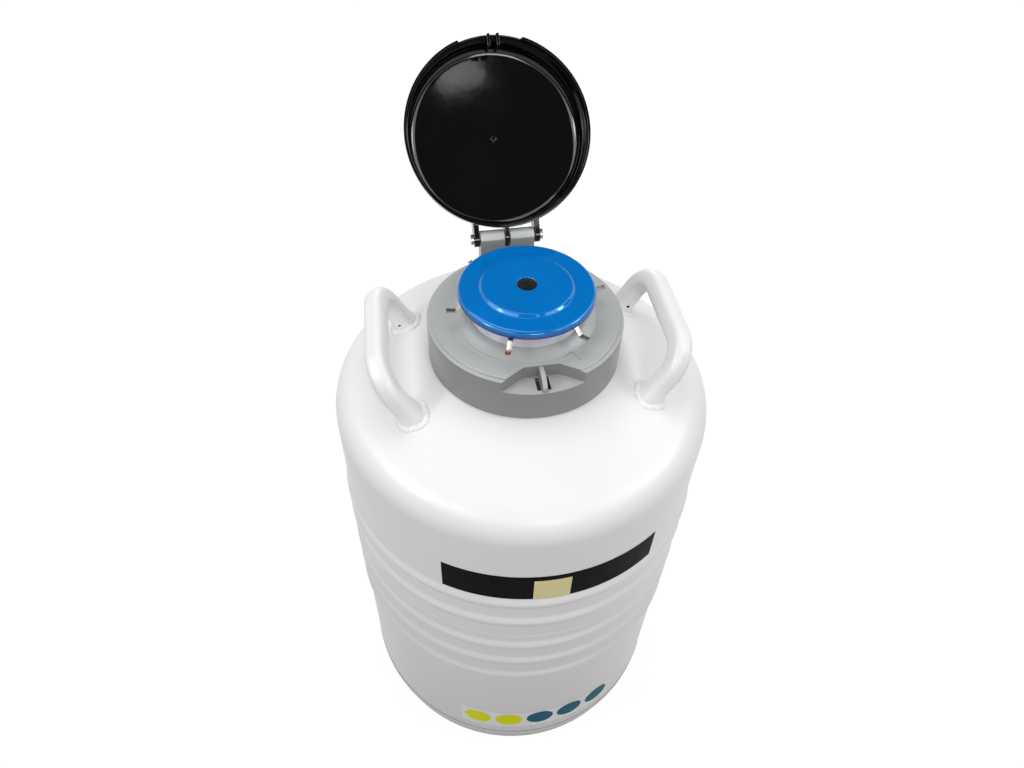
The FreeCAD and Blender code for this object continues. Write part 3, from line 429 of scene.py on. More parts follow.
def dot(name, angle, height, size, lift, material):
    """A round field of radius size on the barrel, as rings of points about its centre."""
    ring, spin = np.meshgrid(np.linspace(0, size, 6), np.linspace(0, 2 * math.pi, 48, endpoint=False))
    around = np.radians(angle) + ring * np.cos(spin) / BARREL
    radius = (BARREL + lift) / 1000.0
    piece(surface(name, np.stack([radius * np.sin(around), -radius * np.cos(around),
                                  (height + ring * np.sin(spin)) / 1000.0], -1), True, False),
          "vessel", "vessel_paint", material)


for count, angle in enumerate((-23.5, -11.6), start=1):
    dot(f"yellow_dot_{count}", angle, 91.5, 20.5, 0.3, yellow_vinyl)
for count, angle in enumerate((0.3, 12.1, 24.1), start=1):
    dot(f"teal_dot_{count}", angle, 94.5, 20.5, 0.3, teal_vinyl)


# --- Neck collar ------------------------------------------------------------
# Injection-moulded grey ABS clamped round the spout: a fine spark texture, with its
# flats painted paler than its walls as painted light.  A recess with splayed sides and
# two slots is let into its front edge, with a curved staple plate for a padlock.
def moulded_abs(name, wall, flat):
    """Spark-textured ABS: roughness 0.31 and a 0.9 mm grain, of the colour wall where
    upright and flat where it faces up: its level faces are painted paler as painted light."""
    made, tree, shader = finish_of(name, {
        "Roughness": 0.31, "IOR": 1.5, "Specular IOR Level": 0.6})
    # Painted light: the more a face points up, the paler its painted colour, as if lit from above.
    facing = add(tree, "SeparateXYZ", {"Vector": add(tree, "TexCoord").outputs["Normal"]})
    level = add(tree, "MapRange", {"Value": facing.outputs["Z"], "From Min": 0.25, "From Max": 0.8})
    tint = add(tree, "ValToRGB", {"Fac": level}, ((0.0, wall), (1.0, flat)), "LINEAR")
    spot = add(tree, "TexCoord").outputs["Object"]
    cloud = add(tree, "TexNoise", {"Vector": spot, "Scale": 1000 / 60, "Detail": 3, "Roughness": 0.55})
    wear = add(tree, "TexNoise", {"Vector": spot, "Scale": 1000 / 40, "Detail": 3, "Roughness": 0.55})
    grain = add(tree, "TexNoise", {"Vector": spot, "Scale": 1000 / 0.9, "Detail": 2, "Roughness": 0.55})
    shade = add(tree, "MapRange", {"Value": cloud, "From Min": 0.3, "From Max": 0.7,
                                   "To Min": 0.98, "To Max": 1.02})
    add(tree, shader, {
        "Base Color": add(tree, "HueSaturation", {"Color": tint, "Value": shade}),
        "Roughness": add(tree, "MapRange", {"Value": wear, "From Min": 0.3, "From Max": 0.7,
                                            "To Min": 0.29, "To Max": 0.34}),
        "Normal": add(tree, "Bump", {"Height": grain, "Distance": 0.02 / 1000, "Strength": 0.25})})
    return made


# Painted light: walls take the first colour, upward faces the paler second.
grey_abs = moulded_abs("grey_abs_moulded", "#858585", "#b2b5b4")
# Painted light: the lugs' moulding is paler still, its tops painted near white.
lug_abs_painted_light = moulded_abs("grey_abs_moulded_lug", "#969898", "#dcdfde")

COLLAR, DECK, STEP, BORE = 113.0, 108.2, 85.4, 66.0
SKIRT_Z, FLOOR_Z, LEDGE_Z, DECK_Z = 662.03, 701.02, 715.03, 717.03
RECESS_HALF, RECESS_BACK = 19.4, 86.5
SPLAY = math.tan(math.radians(58.0))
SLOT_IN, SLOT_OUT, SLOT_NEAR, SLOT_FAR = 3.2, 7.6, 88.5, 107.8


def recess_edge(radius):
    """Half width of the recess where a circle of this radius meets it.

    On the straight back it is sqrt(r^2 - back^2); on the splayed side it
    solves x = half + (y - back) tan 58 with x^2 + y^2 = r^2.
    """
    lead = RECESS_HALF - RECESS_BACK * SPLAY
    forward = (np.sqrt((1 + SPLAY ** 2) * radius ** 2 - lead ** 2) - lead * SPLAY) / (1 + SPLAY ** 2)
    back = np.sqrt(np.maximum(radius ** 2 - RECESS_BACK ** 2, 0))
    return np.where(back < RECESS_HALF, back, lead + SPLAY * forward)


def quarter(radius, height, size, count=6):
    """A rounded edge of a given size from the deck at radius down to its wall: a quarter circle."""
    bend = np.linspace(math.pi / 2, 0, count)
    return np.stack([radius - size + size * np.cos(bend), height - size + size * np.sin(bend)], 1)


def deck_height(radius):
    """Height of the deck at a radius: flat, 0.25 mm up inside the step, then swept up
    7.4 mm to the index ring by half a cosine between the radii 84 and 67."""
    rise = np.clip((84.0 - radius) / 17.0, 0, 1)
    return DECK_Z + 0.25 * (radius < STEP) + 7.4 * (0.5 - 0.5 * np.cos(math.pi * rise))


def ring_rows(rows, turns):
    """Rows of (radius, height) carried round the angles turns, from -Y towards +X, in mm."""
    return np.stack([rows[:, :1] * np.sin(turns), -rows[:, :1] * np.cos(turns),
                     rows[:, 1:] + 0 * turns], -1)


def grid_faces(rows, columns, start, kept=None):
    """Corner numbers of a grid's faces, counted from start; kept drops some of them."""
    row, column = np.meshgrid(np.arange(rows - 1), np.arange(columns - 1), indexing="ij")
    first = start + row * columns + column
    faces = np.stack([first, first + 1, first + columns + 1, first + columns], -1)
    return faces.reshape(-1, 4) if kept is None else faces[kept]


back_x = np.array([0.0, SLOT_IN, SLOT_OUT, 13.5, RECESS_HALF])
open_rows = np.concatenate([
    np.stack([np.hypot(back_x, RECESS_BACK), np.full(5, DECK_Z)], 1),
    np.stack([np.linspace(90.2, DECK - 2.0, 9), np.full(9, DECK_Z)], 1),
    quarter(DECK, DECK_Z, 1.3), [[DECK, LEDGE_Z + 0.3], [DECK + 0.3, LEDGE_Z], [110.6, LEDGE_Z]],
    quarter(COLLAR, LEDGE_Z, 0.9), [[COLLAR, 709.0], [COLLAR, FLOOR_Z]]])
crown_r = np.concatenate([np.linspace(BORE + 0.4, 84.0, 18), [STEP - 0.2, STEP + 0.2]])
closed_rows = np.concatenate([
    [[BORE, 700.0], [BORE, DECK_Z + 7.2]], np.stack([crown_r, deck_height(crown_r)], 1),
    open_rows[:1]])
skirt_rows = np.array([[COLLAR, FLOOR_Z], [COLLAR, 690.0], [COLLAR, 675.0], [COLLAR, SKIRT_Z + 0.5],
                       [COLLAR - 0.5, SKIRT_Z], [COLLAR - 2.6, SKIRT_Z], [COLLAR - 3.0, SKIRT_Z + 0.4],
                       [COLLAR - 3.0, 698.0]])
half_x = recess_edge(open_rows[:, 0])
gap_turn = np.arcsin(half_x / open_rows[:, 0])[:, None]
share = np.linspace(0, 1, 321)[None, :]
deck_grid = ring_rows(open_rows, gap_turn + (2 * math.pi - 2 * gap_turn) * share)
wall_turn = gap_turn[-1, 0]
mouth_x = np.unique(np.concatenate([half_x, -half_x]).round(6))
round_turn = np.concatenate([wall_turn + (2 * math.pi - 2 * wall_turn) * share[0],
                             2 * math.pi + np.arcsin(mouth_x / COLLAR)[1:]])[None, :]
skirt_grid = ring_rows(skirt_rows, round_turn)
crown_grid = ring_rows(closed_rows, 2 * math.pi * share)
side = np.concatenate([deck_grid[::-1, -1], deck_grid[1:, 0]])
side_grid = np.stack([side, side * (1, 1, 0) + (0, 0, FLOOR_Z)])
floor_y = np.array([0.0, SLOT_NEAR, SLOT_FAR, 200.0])[:, None]
behind = np.where(np.abs(mouth_x) <= RECESS_HALF, RECESS_BACK,
                  RECESS_BACK + (np.abs(mouth_x) - RECESS_HALF) / SPLAY)
before = np.sqrt(COLLAR ** 2 - mouth_x ** 2)
floor_grid = np.stack([mouth_x + 0 * floor_y, -np.clip(floor_y, behind, before),
                       FLOOR_Z + 0 * floor_y + 0 * mouth_x], -1)
middle = (np.abs(mouth_x[1:] + mouth_x[:-1])) / 2
floor_kept = np.ones((3, len(mouth_x) - 1), bool)
floor_kept[1] = (middle < SLOT_IN) | (middle > SLOT_OUT)
points, faces, count = [], [], 0
for grid, kept in ((deck_grid, None), (skirt_grid, None), (crown_grid, None), (side_grid, None),
                   (floor_grid, floor_kept)):
    faces.append(grid_faces(*grid.shape[:2], count, kept))
    points.append(grid.reshape(-1, 3) / 1000.0)
    count += len(points[-1])
collar_mesh = bpy.data.meshes.new("neck_cover")
collar_mesh.from_pydata(np.concatenate(points).tolist(), [], np.concatenate(faces).tolist())
smoothed(collar_mesh, 40)
piece(collar_mesh, "vessel", "collar_plastic", grey_abs, "neck_collar")


def plate(name, outline, low, high, body, slot, material, bevel=0.7, moved=None):
    """A plate cut to a (y, z) outline in mm, lying between two x, with softened edges."""
    rows = np.stack([np.concatenate([np.full((len(outline), 1), x), outline], 1)
                     for x in (low, high)])
    rows = rows / 1000.0 if moved is None else moved(rows)
    mesh = smoothed(surface(name, rows, wrap_rows=False), 30, True)
    made = piece(mesh, body, slot, material)
    soft = made.modifiers.new("softened", "BEVEL")
    soft.width, soft.segments, soft.limit_method = bevel / 1000.0, 3, "ANGLE"
    soft.angle_limit = math.radians(24)
    return made


# The staple: a flat top, then a quarter-round nose down to the collar's wall.
nose = np.linspace(0, math.pi / 2, 12)
staple = np.concatenate([[[-85.5, 700.0], [-85.5, LEDGE_Z]], np.stack([
    -91.0 - 21.4 * np.sin(nose), FLOOR_Z - 1.0 + (LEDGE_Z - FLOOR_Z + 1.0) * np.cos(nose)], 1),
    [[-112.4, 699.0]]])
plate("padlock_staple", staple, -2.8, 2.8, "vessel", "collar_plastic", grey_abs, 1.1)

# A plain moulded tick on the deck, a rib 0.9 mm wide that stands 0.25 mm proud.
tick = np.array([[27.8, -78.0], [37.3, -71.7], [43.5, -84.7], [47.2, -81.9]])
for count, (start, stop) in enumerate(zip(tick[:-1], tick[1:]), start=1):
    line = start + (stop - start) * np.linspace(0, 1, 8)[:, None]
    path = np.concatenate([line, deck_height(np.linalg.norm(line, axis=1))[:, None]], 1)
    rib = rounded([(0.45, 0.25, 0.2), (-0.45, 0.25, 0.2), (-0.45, -0.6, 0), (0.45, -0.6, 0)], 4)
    grid = sweep(path, np.append((stop - start)[::-1] * (1, -1), 0) /
                 np.linalg.norm(stop - start), rib)
    piece(smoothed(surface(f"deck_tick_{count}", grid / 1000.0, wrap_rows=False), 50, True),
          "vessel", "collar_plastic", grey_abs)


# --- Hinge bracket ----------------------------------------------------------
# Two moulded lugs in the collar's grey, joined by the web that the lid's tail
# stops against.  Their tops are rolled back from a crisp front edge.
HINGE_Y, HINGE_Z = 122.8, 734.32
lug = np.array([[113.3, 714.6], [113.3, 737.0], [115.4, 740.4], [119.4, 743.2], [124.0, 743.9],
                [128.4, 742.6], [131.5, 738.9], [132.4, 734.3], [132.4, 704.4], [122.8, 688.6],
                [107.4, 676.0], [107.4, 714.6]])
bracket = plate("hinge_lug_left", lug, -33.5, -3.5, "vessel", "collar_plastic", lug_abs_painted_light, 0.9)
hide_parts("hinge_bracket")
plate("hinge_lug_right", lug, 3.5, 33.5, "vessel", "collar_plastic", lug_abs_painted_light, 0.9)
web = np.array([[113.4, 690.8], [118.6, 690.8], [118.6, 724.7], [113.4, 724.7]])
plate("hinge_web", web, -3.6, 3.6, "vessel", "collar_plastic", lug_abs_painted_light, 0.3)


# --- Index ring -------------------------------------------------------------
# Off-white moulded sleeve on the mouth of the neck tube, with a notch for each
# canister strip; its side is finely fluted.
ivory, tree, shader = finish_of("natural_acetal_moulded", {
    "Roughness": 0.38, "IOR": 1.48, "Subsurface Weight": 0.08, "Subsurface Scale": 0.002})
spot = add(tree, "TexCoord").outputs["Object"]
tint = add(tree, "TexNoise", {"Vector": spot, "Scale": 1000 / 25, "Detail": 3, "Roughness": 0.55})
split = add(tree, "SeparateXYZ", {"Vector": spot})
turn = add(tree, "Math", {0: split.outputs["Y"], 1: split.outputs["X"]}, operation="ARCTAN2")
flute = add(tree, "Math", {0: turn, 1: 150.0}, operation="MULTIPLY")
wave = add(tree, "Math", {0: flute}, operation="SINE")
add(tree, shader, {
    "Base Color": add(tree, "ValToRGB", {"Fac": tint}, ((0.3, "#cfcdd8"), (0.7, "#dddbe6"))),
    "Normal": add(tree, "Bump", {"Height": wave, "Distance": 0.15 / 1000, "Strength": 0.5})})


def tidied(node, sharp=30.0):
    """A copy of a CAD node's mesh, merged and shaded smooth up to sharp degrees."""
    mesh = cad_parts[node].data.copy()
    mesh.name = node + "_moulded"
    mesh.materials.clear()
    for name in [layer.name for layer in mesh.uv_layers]:
        mesh.uv_layers.remove(mesh.uv_layers[name])
    return smoothed(mesh, sharp)


piece(tidied("index_ring"), "vessel", "ring_plastic", ivory, "index_ring")


# --- Cap --------------------------------------------------------------------
# Blue polypropylene cover, moulded and polished, with a raised disc over the foam
# plug and a rim painted a deeper blue as painted shade.  The hole at its centre holds
# a soft black plug.
blue_cap, tree, shader = finish_of("blue_polypropylene_moulded", {
    "Roughness": 0.1, "IOR": 1.49, "Specular IOR Level": 1.0,
    "Specular Tint": linear("#a8d8ff")})
spot = add(tree, "TexCoord").outputs["Object"]
tint = add(tree, "TexNoise", {"Vector": spot, "Scale": 1000 / 45, "Detail": 3, "Roughness": 0.55})
wear = add(tree, "TexNoise", {"Vector": spot, "Scale": 1000 / 30, "Detail": 3, "Roughness": 0.55})
grain = add(tree, "TexNoise", {"Vector": spot, "Scale": 1000 / 1.2, "Detail": 2, "Roughness": 0.55})
lift = add(tree, "SeparateXYZ", {"Vector": spot}).outputs["Z"]
# Painted shade: the rim is painted a deeper blue than the top, blending from 754.5 mm down to 747.5 mm.
skirt = add(tree, "MapRange", {"Value": lift, "From Min": 0.7475, "From Max": 0.7545})
rim_painted_shade = add(tree, "ValToRGB", {"Fac": tint}, ((0.3, "#04317d"), (0.7, "#063683")))
bright = add(tree, "ValToRGB", {"Fac": tint}, ((0.3, "#0070c1"), (0.7, "#0074c6")))
shade = add(tree, "Mix", {0: skirt, 6: rim_painted_shade, 7: bright}, data_type="RGBA")
add(tree, shader, {
    "Base Color": shade.outputs[2],
    "Roughness": add(tree, "MapRange", {"Value": wear, "From Min": 0.3, "From Max": 0.7,
                                        "To Min": 0.08, "To Max": 0.13}),
    "Normal": add(tree, "Bump", {"Height": grain, "Distance": 0.01 / 1000, "Strength": 0.06})})
RING_TOP = 746.02
cap_profile = rounded([
    (11.2, RING_TOP, 0), (77.5, RING_TOP, 2.3), (77.5, RING_TOP + 10, 4.5),
    (53.6, RING_TOP + 10, 1.4), (50.6, RING_TOP + 13.4, 2.4), (11.2, RING_TOP + 13.2, 0.8)], 8)
piece(surface("cap_moulding", lathe(cap_profile, 220), sharp=40), "vessel", "cap_plastic",
      blue_cap, "cap_cover")


# --- Canister hooks ---------------------------------------------------------
# Stainless strip, 6 by 1.5 mm, that rises from each canister through the
# neck, bends over the index ring and ends in a short upturned hook, one of them
# heat-marked.  Each was bent by hand, so knee and tip differ by a few mm.
def strip_steel(name, near, tip):
    """Bright rolled strip, painted darker outwards as painted shade, whose last 4 mm goes to the
    colours near and tip.
    """
    made, tree, shader = finish_of(name, {"Metallic": 1.0, "Roughness": 0.3})
    spot = add(tree, "TexCoord").outputs["Object"]
    wear = add(tree, "TexNoise", {"Vector": spot, "Scale": 1000 / 3, "Detail": 3, "Roughness": 0.55})
    split = add(tree, "SeparateXYZ", {"Vector": spot})
    level = add(tree, "CombineXYZ", {"X": split.outputs["X"], "Y": split.outputs["Y"]})
    out = add(tree, "VectorMath", {0: level}, operation="LENGTH").outputs["Value"]
    # Painted shade: the steel is painted darker from 55 mm outwards, where the strip runs out from
    # under the cap; the heat-marked strip's brown last 4 mm is its own colour.
    place = add(tree, "MapRange", {"Value": out, "From Min": 0.055, "From Max": 0.092})
    add(tree, shader, {
        "Base Color": add(tree, "ValToRGB", {"Fac": place}, (
            (0.0, "#cbc8c4"), (0.5, "#bebcb9"), (0.86, "#b2ada6"), (0.94, near), (1.0, tip))),
        "Roughness": add(tree, "MapRange", {"Value": wear, "From Min": 0.3, "From Max": 0.7,
                                            "To Min": 0.26, "To Max": 0.44})})
    return made


bright_strip = strip_steel("stainless_strip_rolled", "#a9a59e", "#96928a")
burnt_strip = strip_steel("stainless_strip_heat_marked", "#a27c62", "#8f5f44")
strip_outline = rounded([(3.0, 0.75, 0.4), (-3.0, 0.75, 0.4), (-3.0, -0.75, 0.4),
                         (3.0, -0.75, 0.4)], 4)
for count, (knee, tip, aside) in enumerate((
        (-3.6, 0.4, 0.0), (0.0, 0.0, 0.0), (0.0, 0.0, 0.0), (-4.0, -1.6, -0.6), (0.2, -0.8, 1.8),
        (-3.2, -0.5, 0.3))):
    hook = bent([(56.75, 0, 261.5), (56.75, 0, 743.8), (77.4 + knee, 0, 743.8),
                 (84.6 + knee, 0, 735.6), (93.2 + tip, 0, 737.6)], 2.6, 4.0)
    grid = sweep(hook, (0, 1, 0), strip_outline)
    turned = math.radians(aside) * np.clip((grid[..., 0] - 68.0) / 10.0, 0, 1)
    angle = math.radians(4.5 + 60 * count) + turned
    across, along = grid[..., 0].copy(), grid[..., 1].copy()
    grid[..., 0] = across * np.cos(angle) - along * np.sin(angle)
    grid[..., 1] = across * np.sin(angle) + along * np.cos(angle)
    mesh = surface(f"hook_strip_{count + 1}", grid / 1000.0, wrap_rows=False, sharp=50)
    mesh = smoothed(mesh, 50, True)
    piece(mesh, "vessel", "stainless_steel", burnt_strip if count == 4 else bright_strip,
          f"canister_handle_{count + 1}")


# --- Lid --------------------------------------------------------------------
# Deep dish moulded in gloss black, with a stepped lip that is left out at the
# latch, a domed floor on a tight knuckle and a small gate boss in the middle.
black_gloss, tree, shader = finish_of("black_abs_polished", {
    "Roughness": 0.09, "IOR": 1.5, "Specular IOR Level": 0.5})
spot = add(tree, "TexCoord").outputs["Object"]
tint = add(tree, "TexNoise", {"Vector": spot, "Scale": 1000 / 70, "Detail": 3, "Roughness": 0.55})
wear = add(tree, "TexNoise", {"Vector": spot, "Scale": 1000 / 20, "Detail": 3, "Roughness": 0.55})
grain = add(tree, "TexNoise", {"Vector": spot, "Scale": 1000 / 32, "Detail": 2, "Roughness": 0.55})
add(tree, shader, {
    "Base Color": add(tree, "ValToRGB", {"Fac": tint}, ((0.3, "#050505"), (0.7, "#080808"))),
    "Roughness": add(tree, "MapRange", {"Value": wear, "From Min": 0.3, "From Max": 0.7,
                                        "To Min": 0.07, "To Max": 0.11}),
    "Normal": add(tree, "Bump", {"Height": grain, "Distance": 0.2 / 1000,
                                 "Strength": 0.5})})

OPEN = math.radians(-129.4)
RIM = 715.32


def opened(points):
    """Take lid points from where they lie shut, in mm, to the open place about the hinge pin."""
    along, rise = points[..., 1] - HINGE_Y, points[..., 2] - HINGE_Z
    return np.stack([points[..., 0],
                     HINGE_Y + along * math.cos(OPEN) - rise * math.sin(OPEN),
                     HINGE_Z + along * math.sin(OPEN) + rise * math.cos(OPEN)], -1) / 1000.0


def dome(crown, knuckle, wall, foot, count=40):
    """Profile from the wall up over a knuckle arc and a shallow crown arc to the axis."""
    turn = math.asin((wall - knuckle) / (crown - knuckle))
    bend = np.linspace(0, math.pi / 2 - turn, 14)
    corner = np.stack([wall - knuckle + knuckle * np.cos(bend), foot + knuckle * np.sin(bend)], 1)
    lean = np.linspace(turn, 0, count)[1:]
    top = foot + knuckle * math.cos(turn) - crown * math.cos(turn)
    return np.concatenate([corner, np.stack([crown * np.sin(lean), top + crown * np.cos(lean)], 1)])


outer_dome = dome(657.0, 14.0, 110.2, RIM + 30.7)
inner_dome = dome(654.5, 11.5, 107.7, RIM + 30.7)[::-1]
profile = np.concatenate([
    [[109.9, RIM + 0.4], [110.3, RIM], [112.1, RIM], [112.5, RIM + 0.4], [112.5, RIM + 6.4],
     [111.9, RIM + 7.0], [110.8, RIM + 7.3], [110.5, RIM + 8.5]],
    outer_dome, inner_dome,
    [[107.7, RIM + 9.0], [108.2, RIM + 5.0], [109.5, RIM + 3.2], [109.9, RIM + 2.5]]])
grid = lathe(profile, 300) * 1000.0
angle = np.degrees(np.arctan2(grid[..., 0], -grid[..., 1]))
gap = np.clip((20.0 - np.abs(angle)) / 0.8, 0, 1)[..., None]
radius = np.hypot(grid[..., 0], grid[..., 1])[..., None]
low = grid[..., 2:] < RIM + 7.4
shrunk = np.concatenate([grid[..., :2] * np.minimum(110.4 / np.maximum(radius, 1e-6), 1.0),
                         np.maximum(grid[..., 2:], RIM + 3.1)], -1)
grid = np.where(low, grid * (1 - gap) + shrunk * gap, grid)
piece(surface("lid_dish", opened(grid), sharp=42), "lid", "lid_plastic", black_gloss, "lid")

boss = rounded([(0, 761.6, 0), (4.6, 761.6, 2.6), (4.6, 766.5, 0), (0, 766.5, 0)], 8)
piece(surface("lid_gate_boss", opened(lathe(boss, 40) * 1000.0)), "lid", "lid_plastic", black_gloss)


def lid_plate(name, outline, low, high, bevel=0.7):
    """A plate of the lid, drawn shut and taken to the open place."""
    plate(name, outline, low, high, "lid", "lid_plastic", black_gloss, bevel, opened)


spin = np.linspace(-math.pi / 2, math.pi / 2, 20)
eye = np.stack([HINGE_Y + 9.4 * np.cos(spin), HINGE_Z + 9.4 * np.sin(spin)], 1)
side_arm = np.concatenate([eye, [[102.3, HINGE_Z + 9.4], [102.3, HINGE_Z - 9.4]]])
lid_plate("lid_arm_left", side_arm, -41.0, -34.3)
lid_plate("lid_arm_right", side_arm, 34.3, 41.0)
lid_plate("lid_arm_middle", np.concatenate([eye, [[108.6, HINGE_Z + 9.4], [108.6, HINGE_Z - 9.4]]]),
      -2.7, 2.7)
tail = np.array([[-4.0, 0.0], [-4.0, -22.0], [4.0, -22.0], [4.0, 0.0]])
turn_back = -OPEN
tail = np.stack([HINGE_Y + tail[:, 0] * math.cos(turn_back) - tail[:, 1] * math.sin(turn_back),
                 HINGE_Z + tail[:, 0] * math.sin(turn_back) + tail[:, 1] * math.cos(turn_back)], 1)
lid_plate("lid_stop_tail", tail, -2.7, 2.7)
prong = np.array([[-104.9, RIM - 22.0], [-91.4, RIM - 22.0], [-91.4, RIM + 8.0], [-105.5, RIM + 17.0],
                  [-108.9, RIM + 17.0], [-108.9, RIM + 4.2], [-104.9, RIM + 4.2]])
lid_plate("lid_prong_left", prong, -7.1, -3.7, 0.5)
lid_plate("lid_prong_right", prong, 3.7, 7.1, 0.5)


# --- Pieces carried over ----------------------------------------------------
# Pin, clamp, port, plugs, canisters, locating plate, inner vessel and insulation
# keep the model's own shapes and get the finish of what each is made of.

def carry(material, *nodes):
    """Give CAD nodes a finish."""
    for node in nodes:
        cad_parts[node].data.materials.clear()
        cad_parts[node].data.materials.append(material)


pin_steel, tree, shader = finish_of("stainless_pin_turned", {"Metallic": 1.0, "Roughness": 0.25})
spot = add(tree, "TexCoord").outputs["Object"]
tint = add(tree, "TexNoise", {"Vector": spot, "Scale": 1000 / 6, "Detail": 3, "Roughness": 0.55})
wear = add(tree, "TexNoise", {"Vector": spot, "Scale": 1000 / 1, "Detail": 3, "Roughness": 0.55})
add(tree, shader, {
    "Base Color": add(tree, "ValToRGB", {"Fac": tint}, ((0.3, "#d3cbc8"), (0.7, "#dfd8d5"))),
    "Roughness": add(tree, "MapRange", {"Value": wear, "From Min": 0.3, "From Max": 0.7,
                                        "To Min": 0.3, "To Max": 0.42})})
carry(pin_steel, "hinge_pin", "hinge_pin_cap", "collar_clamp")

mill, tree, shader = finish_of("mill_finish_aluminium", {"Metallic": 1.0, "Roughness": 0.4})
spot = add(tree, "TexCoord").outputs["Object"]
tint = add(tree, "TexNoise", {"Vector": spot, "Scale": 1000 / 40, "Detail": 3, "Roughness": 0.55})
wear = add(tree, "TexNoise", {"Vector": spot, "Scale": 1000 / 5, "Detail": 3, "Roughness": 0.55})
grain = add(tree, "TexNoise", {"Vector": spot, "Scale": 1000 / 2, "Detail": 3, "Roughness": 0.55})
add(tree, shader, {
    "Base Color": add(tree, "ValToRGB", {"Fac": tint}, ((0.3, "#c4c6c8"), (0.7, "#d2d3d4"))),
    "Roughness": add(tree, "MapRange", {"Value": wear, "From Min": 0.3, "From Max": 0.7,
                                        "To Min": 0.32, "To Max": 0.48}),
    "Normal": add(tree, "Bump", {"Height": grain, "Distance": 0.02 / 1000,
                                 "Strength": 0.4})})
carry(mill, "inner_base", "inner_wall", "inner_cone", "sorbent_tray", "vacuum_port",
      "locating_plate", *[f"canister_{count}" for count in range(1, 7)],
      *[f"canister_base_{count}" for count in range(1, 7)])

laminate, tree, shader = finish_of("glass_epoxy_laminate", {"Roughness": 0.35, "IOR": 1.55})
spot = add(tree, "TexCoord").outputs["Object"]
tint = add(tree, "TexNoise", {"Vector": spot, "Scale": 1000 / 3, "Detail": 3, "Roughness": 0.55})
grain = add(tree, "TexNoise", {"Vector": spot, "Scale": 1000 / 1.5, "Detail": 3, "Roughness": 0.55})
add(tree, shader, {
    "Base Color": add(tree, "ValToRGB", {"Fac": tint}, ((0.3, "#b8a878"), (0.7, "#c6b88c"))),
    "Normal": add(tree, "Bump", {"Height": grain, "Distance": 0.05 / 1000,
                                 "Strength": 0.5})})
carry(laminate, "neck_tube")

foil, tree, shader = finish_of("aluminised_film_wrapped", {"Metallic": 0.9, "Roughness": 0.3})
spot = add(tree, "TexCoord").outputs["Object"]
tint = add(tree, "TexNoise", {"Vector": spot, "Scale": 1000 / 30, "Detail": 3, "Roughness": 0.55})
grain = add(tree, "TexNoise", {"Vector": spot, "Scale": 1000 / 14, "Detail": 5, "Roughness": 0.55})
add(tree, shader, {
    "Base Color": add(tree, "ValToRGB", {"Fac": tint}, ((0.3, "#c9cbcf"), (0.7, "#dcdde0"))),
    "Normal": add(tree, "Bump", {"Height": grain, "Distance": 0.6 / 1000,
                                 "Strength": 0.8})})
carry(foil, "insulation_blanket")

rubber, tree, shader = finish_of("black_nitrile_moulded", {
    "Roughness": 0.55, "IOR": 1.52, "Specular IOR Level": 0.25})
spot = add(tree, "TexCoord").outputs["Object"]
tint = add(tree, "TexNoise", {"Vector": spot, "Scale": 1000 / 8, "Detail": 3, "Roughness": 0.55})
grain = add(tree, "TexNoise", {"Vector": spot, "Scale": 1000 / 0.8, "Detail": 3, "Roughness": 0.55})
add(tree, shader, {
    "Base Color": add(tree, "ValToRGB", {"Fac": tint}, ((0.3, "#0b0b0c"), (0.7, "#161617"))),
    "Normal": add(tree, "Bump", {"Height": grain, "Distance": 0.03 / 1000,
                                 "Strength": 0.5})})
carry(rubber, "centre_plug", "vacuum_port_cap")

foam, tree, shader = finish_of("polyurethane_foam_turned", {"Roughness": 0.85, "IOR": 1.45})
spot = add(tree, "TexCoord").outputs["Object"]
tint = add(tree, "TexNoise", {"Vector": spot, "Scale": 1000 / 4, "Detail": 3, "Roughness": 0.55})
grain = add(tree, "TexNoise", {"Vector": spot, "Scale": 1000 / 0.8, "Detail": 4, "Roughness": 0.55})
add(tree, shader, {
    "Base Color": add(tree, "ValToRGB", {"Fac": tint}, ((0.3, "#dfd6b8"), (0.7, "#ebe3ca"))),
    "Normal": add(tree, "Bump", {"Height": grain, "Distance": 0.3 / 1000,
                                 "Strength": 0.7})})
carry(foam, "neck_plug")


# --- Floor, world, lamps and camera -----------------------------------------
# Pale floor and an even room, brighter above, with soft boxes at the sides,
# overhead, in front and behind, and cards and strips that glossy surfaces mirror.

def seen_directly(tree):
    """1 for rays that show the background: camera, glossy and transmission rays."""
    path = add(tree, "LightPath")
    first = add(tree, "Math", {0: path.outputs["Is Camera Ray"], 1: path.outputs["Is Glossy Ray"]},
                operation="MAXIMUM")
    return add(tree, "Math", {0: first, 1: path.outputs["Is Transmission Ray"]},
               operation="MAXIMUM")


spin = np.linspace(0, 2 * math.pi, 64, endpoint=False)
floor_mesh = bpy.data.meshes.new("floor")
floor_mesh.from_pydata(np.stack([6 * np.cos(spin), 6 * np.sin(spin), 0 * spin], 1).tolist(), [],
                       [list(range(64))])
floor = bpy.data.objects.new("floor", floor_mesh)
bpy.context.scene.collection.objects.link(floor)
pale, tree, shader = finish_of("pale_studio_floor", {
    "Roughness": 0.9, "Base Color": linear("#424242")})
glow = add(tree, "Emission", {"Strength": 0.94})
both = add(tree, "AddShader", {0: shader, 1: glow})
mixed = add(tree, "MixShader", {0: seen_directly(tree), 1: shader, 2: both})
add(tree, tree.nodes["Material Output"], {"Surface": mixed})
floor_mesh.materials.append(pale)

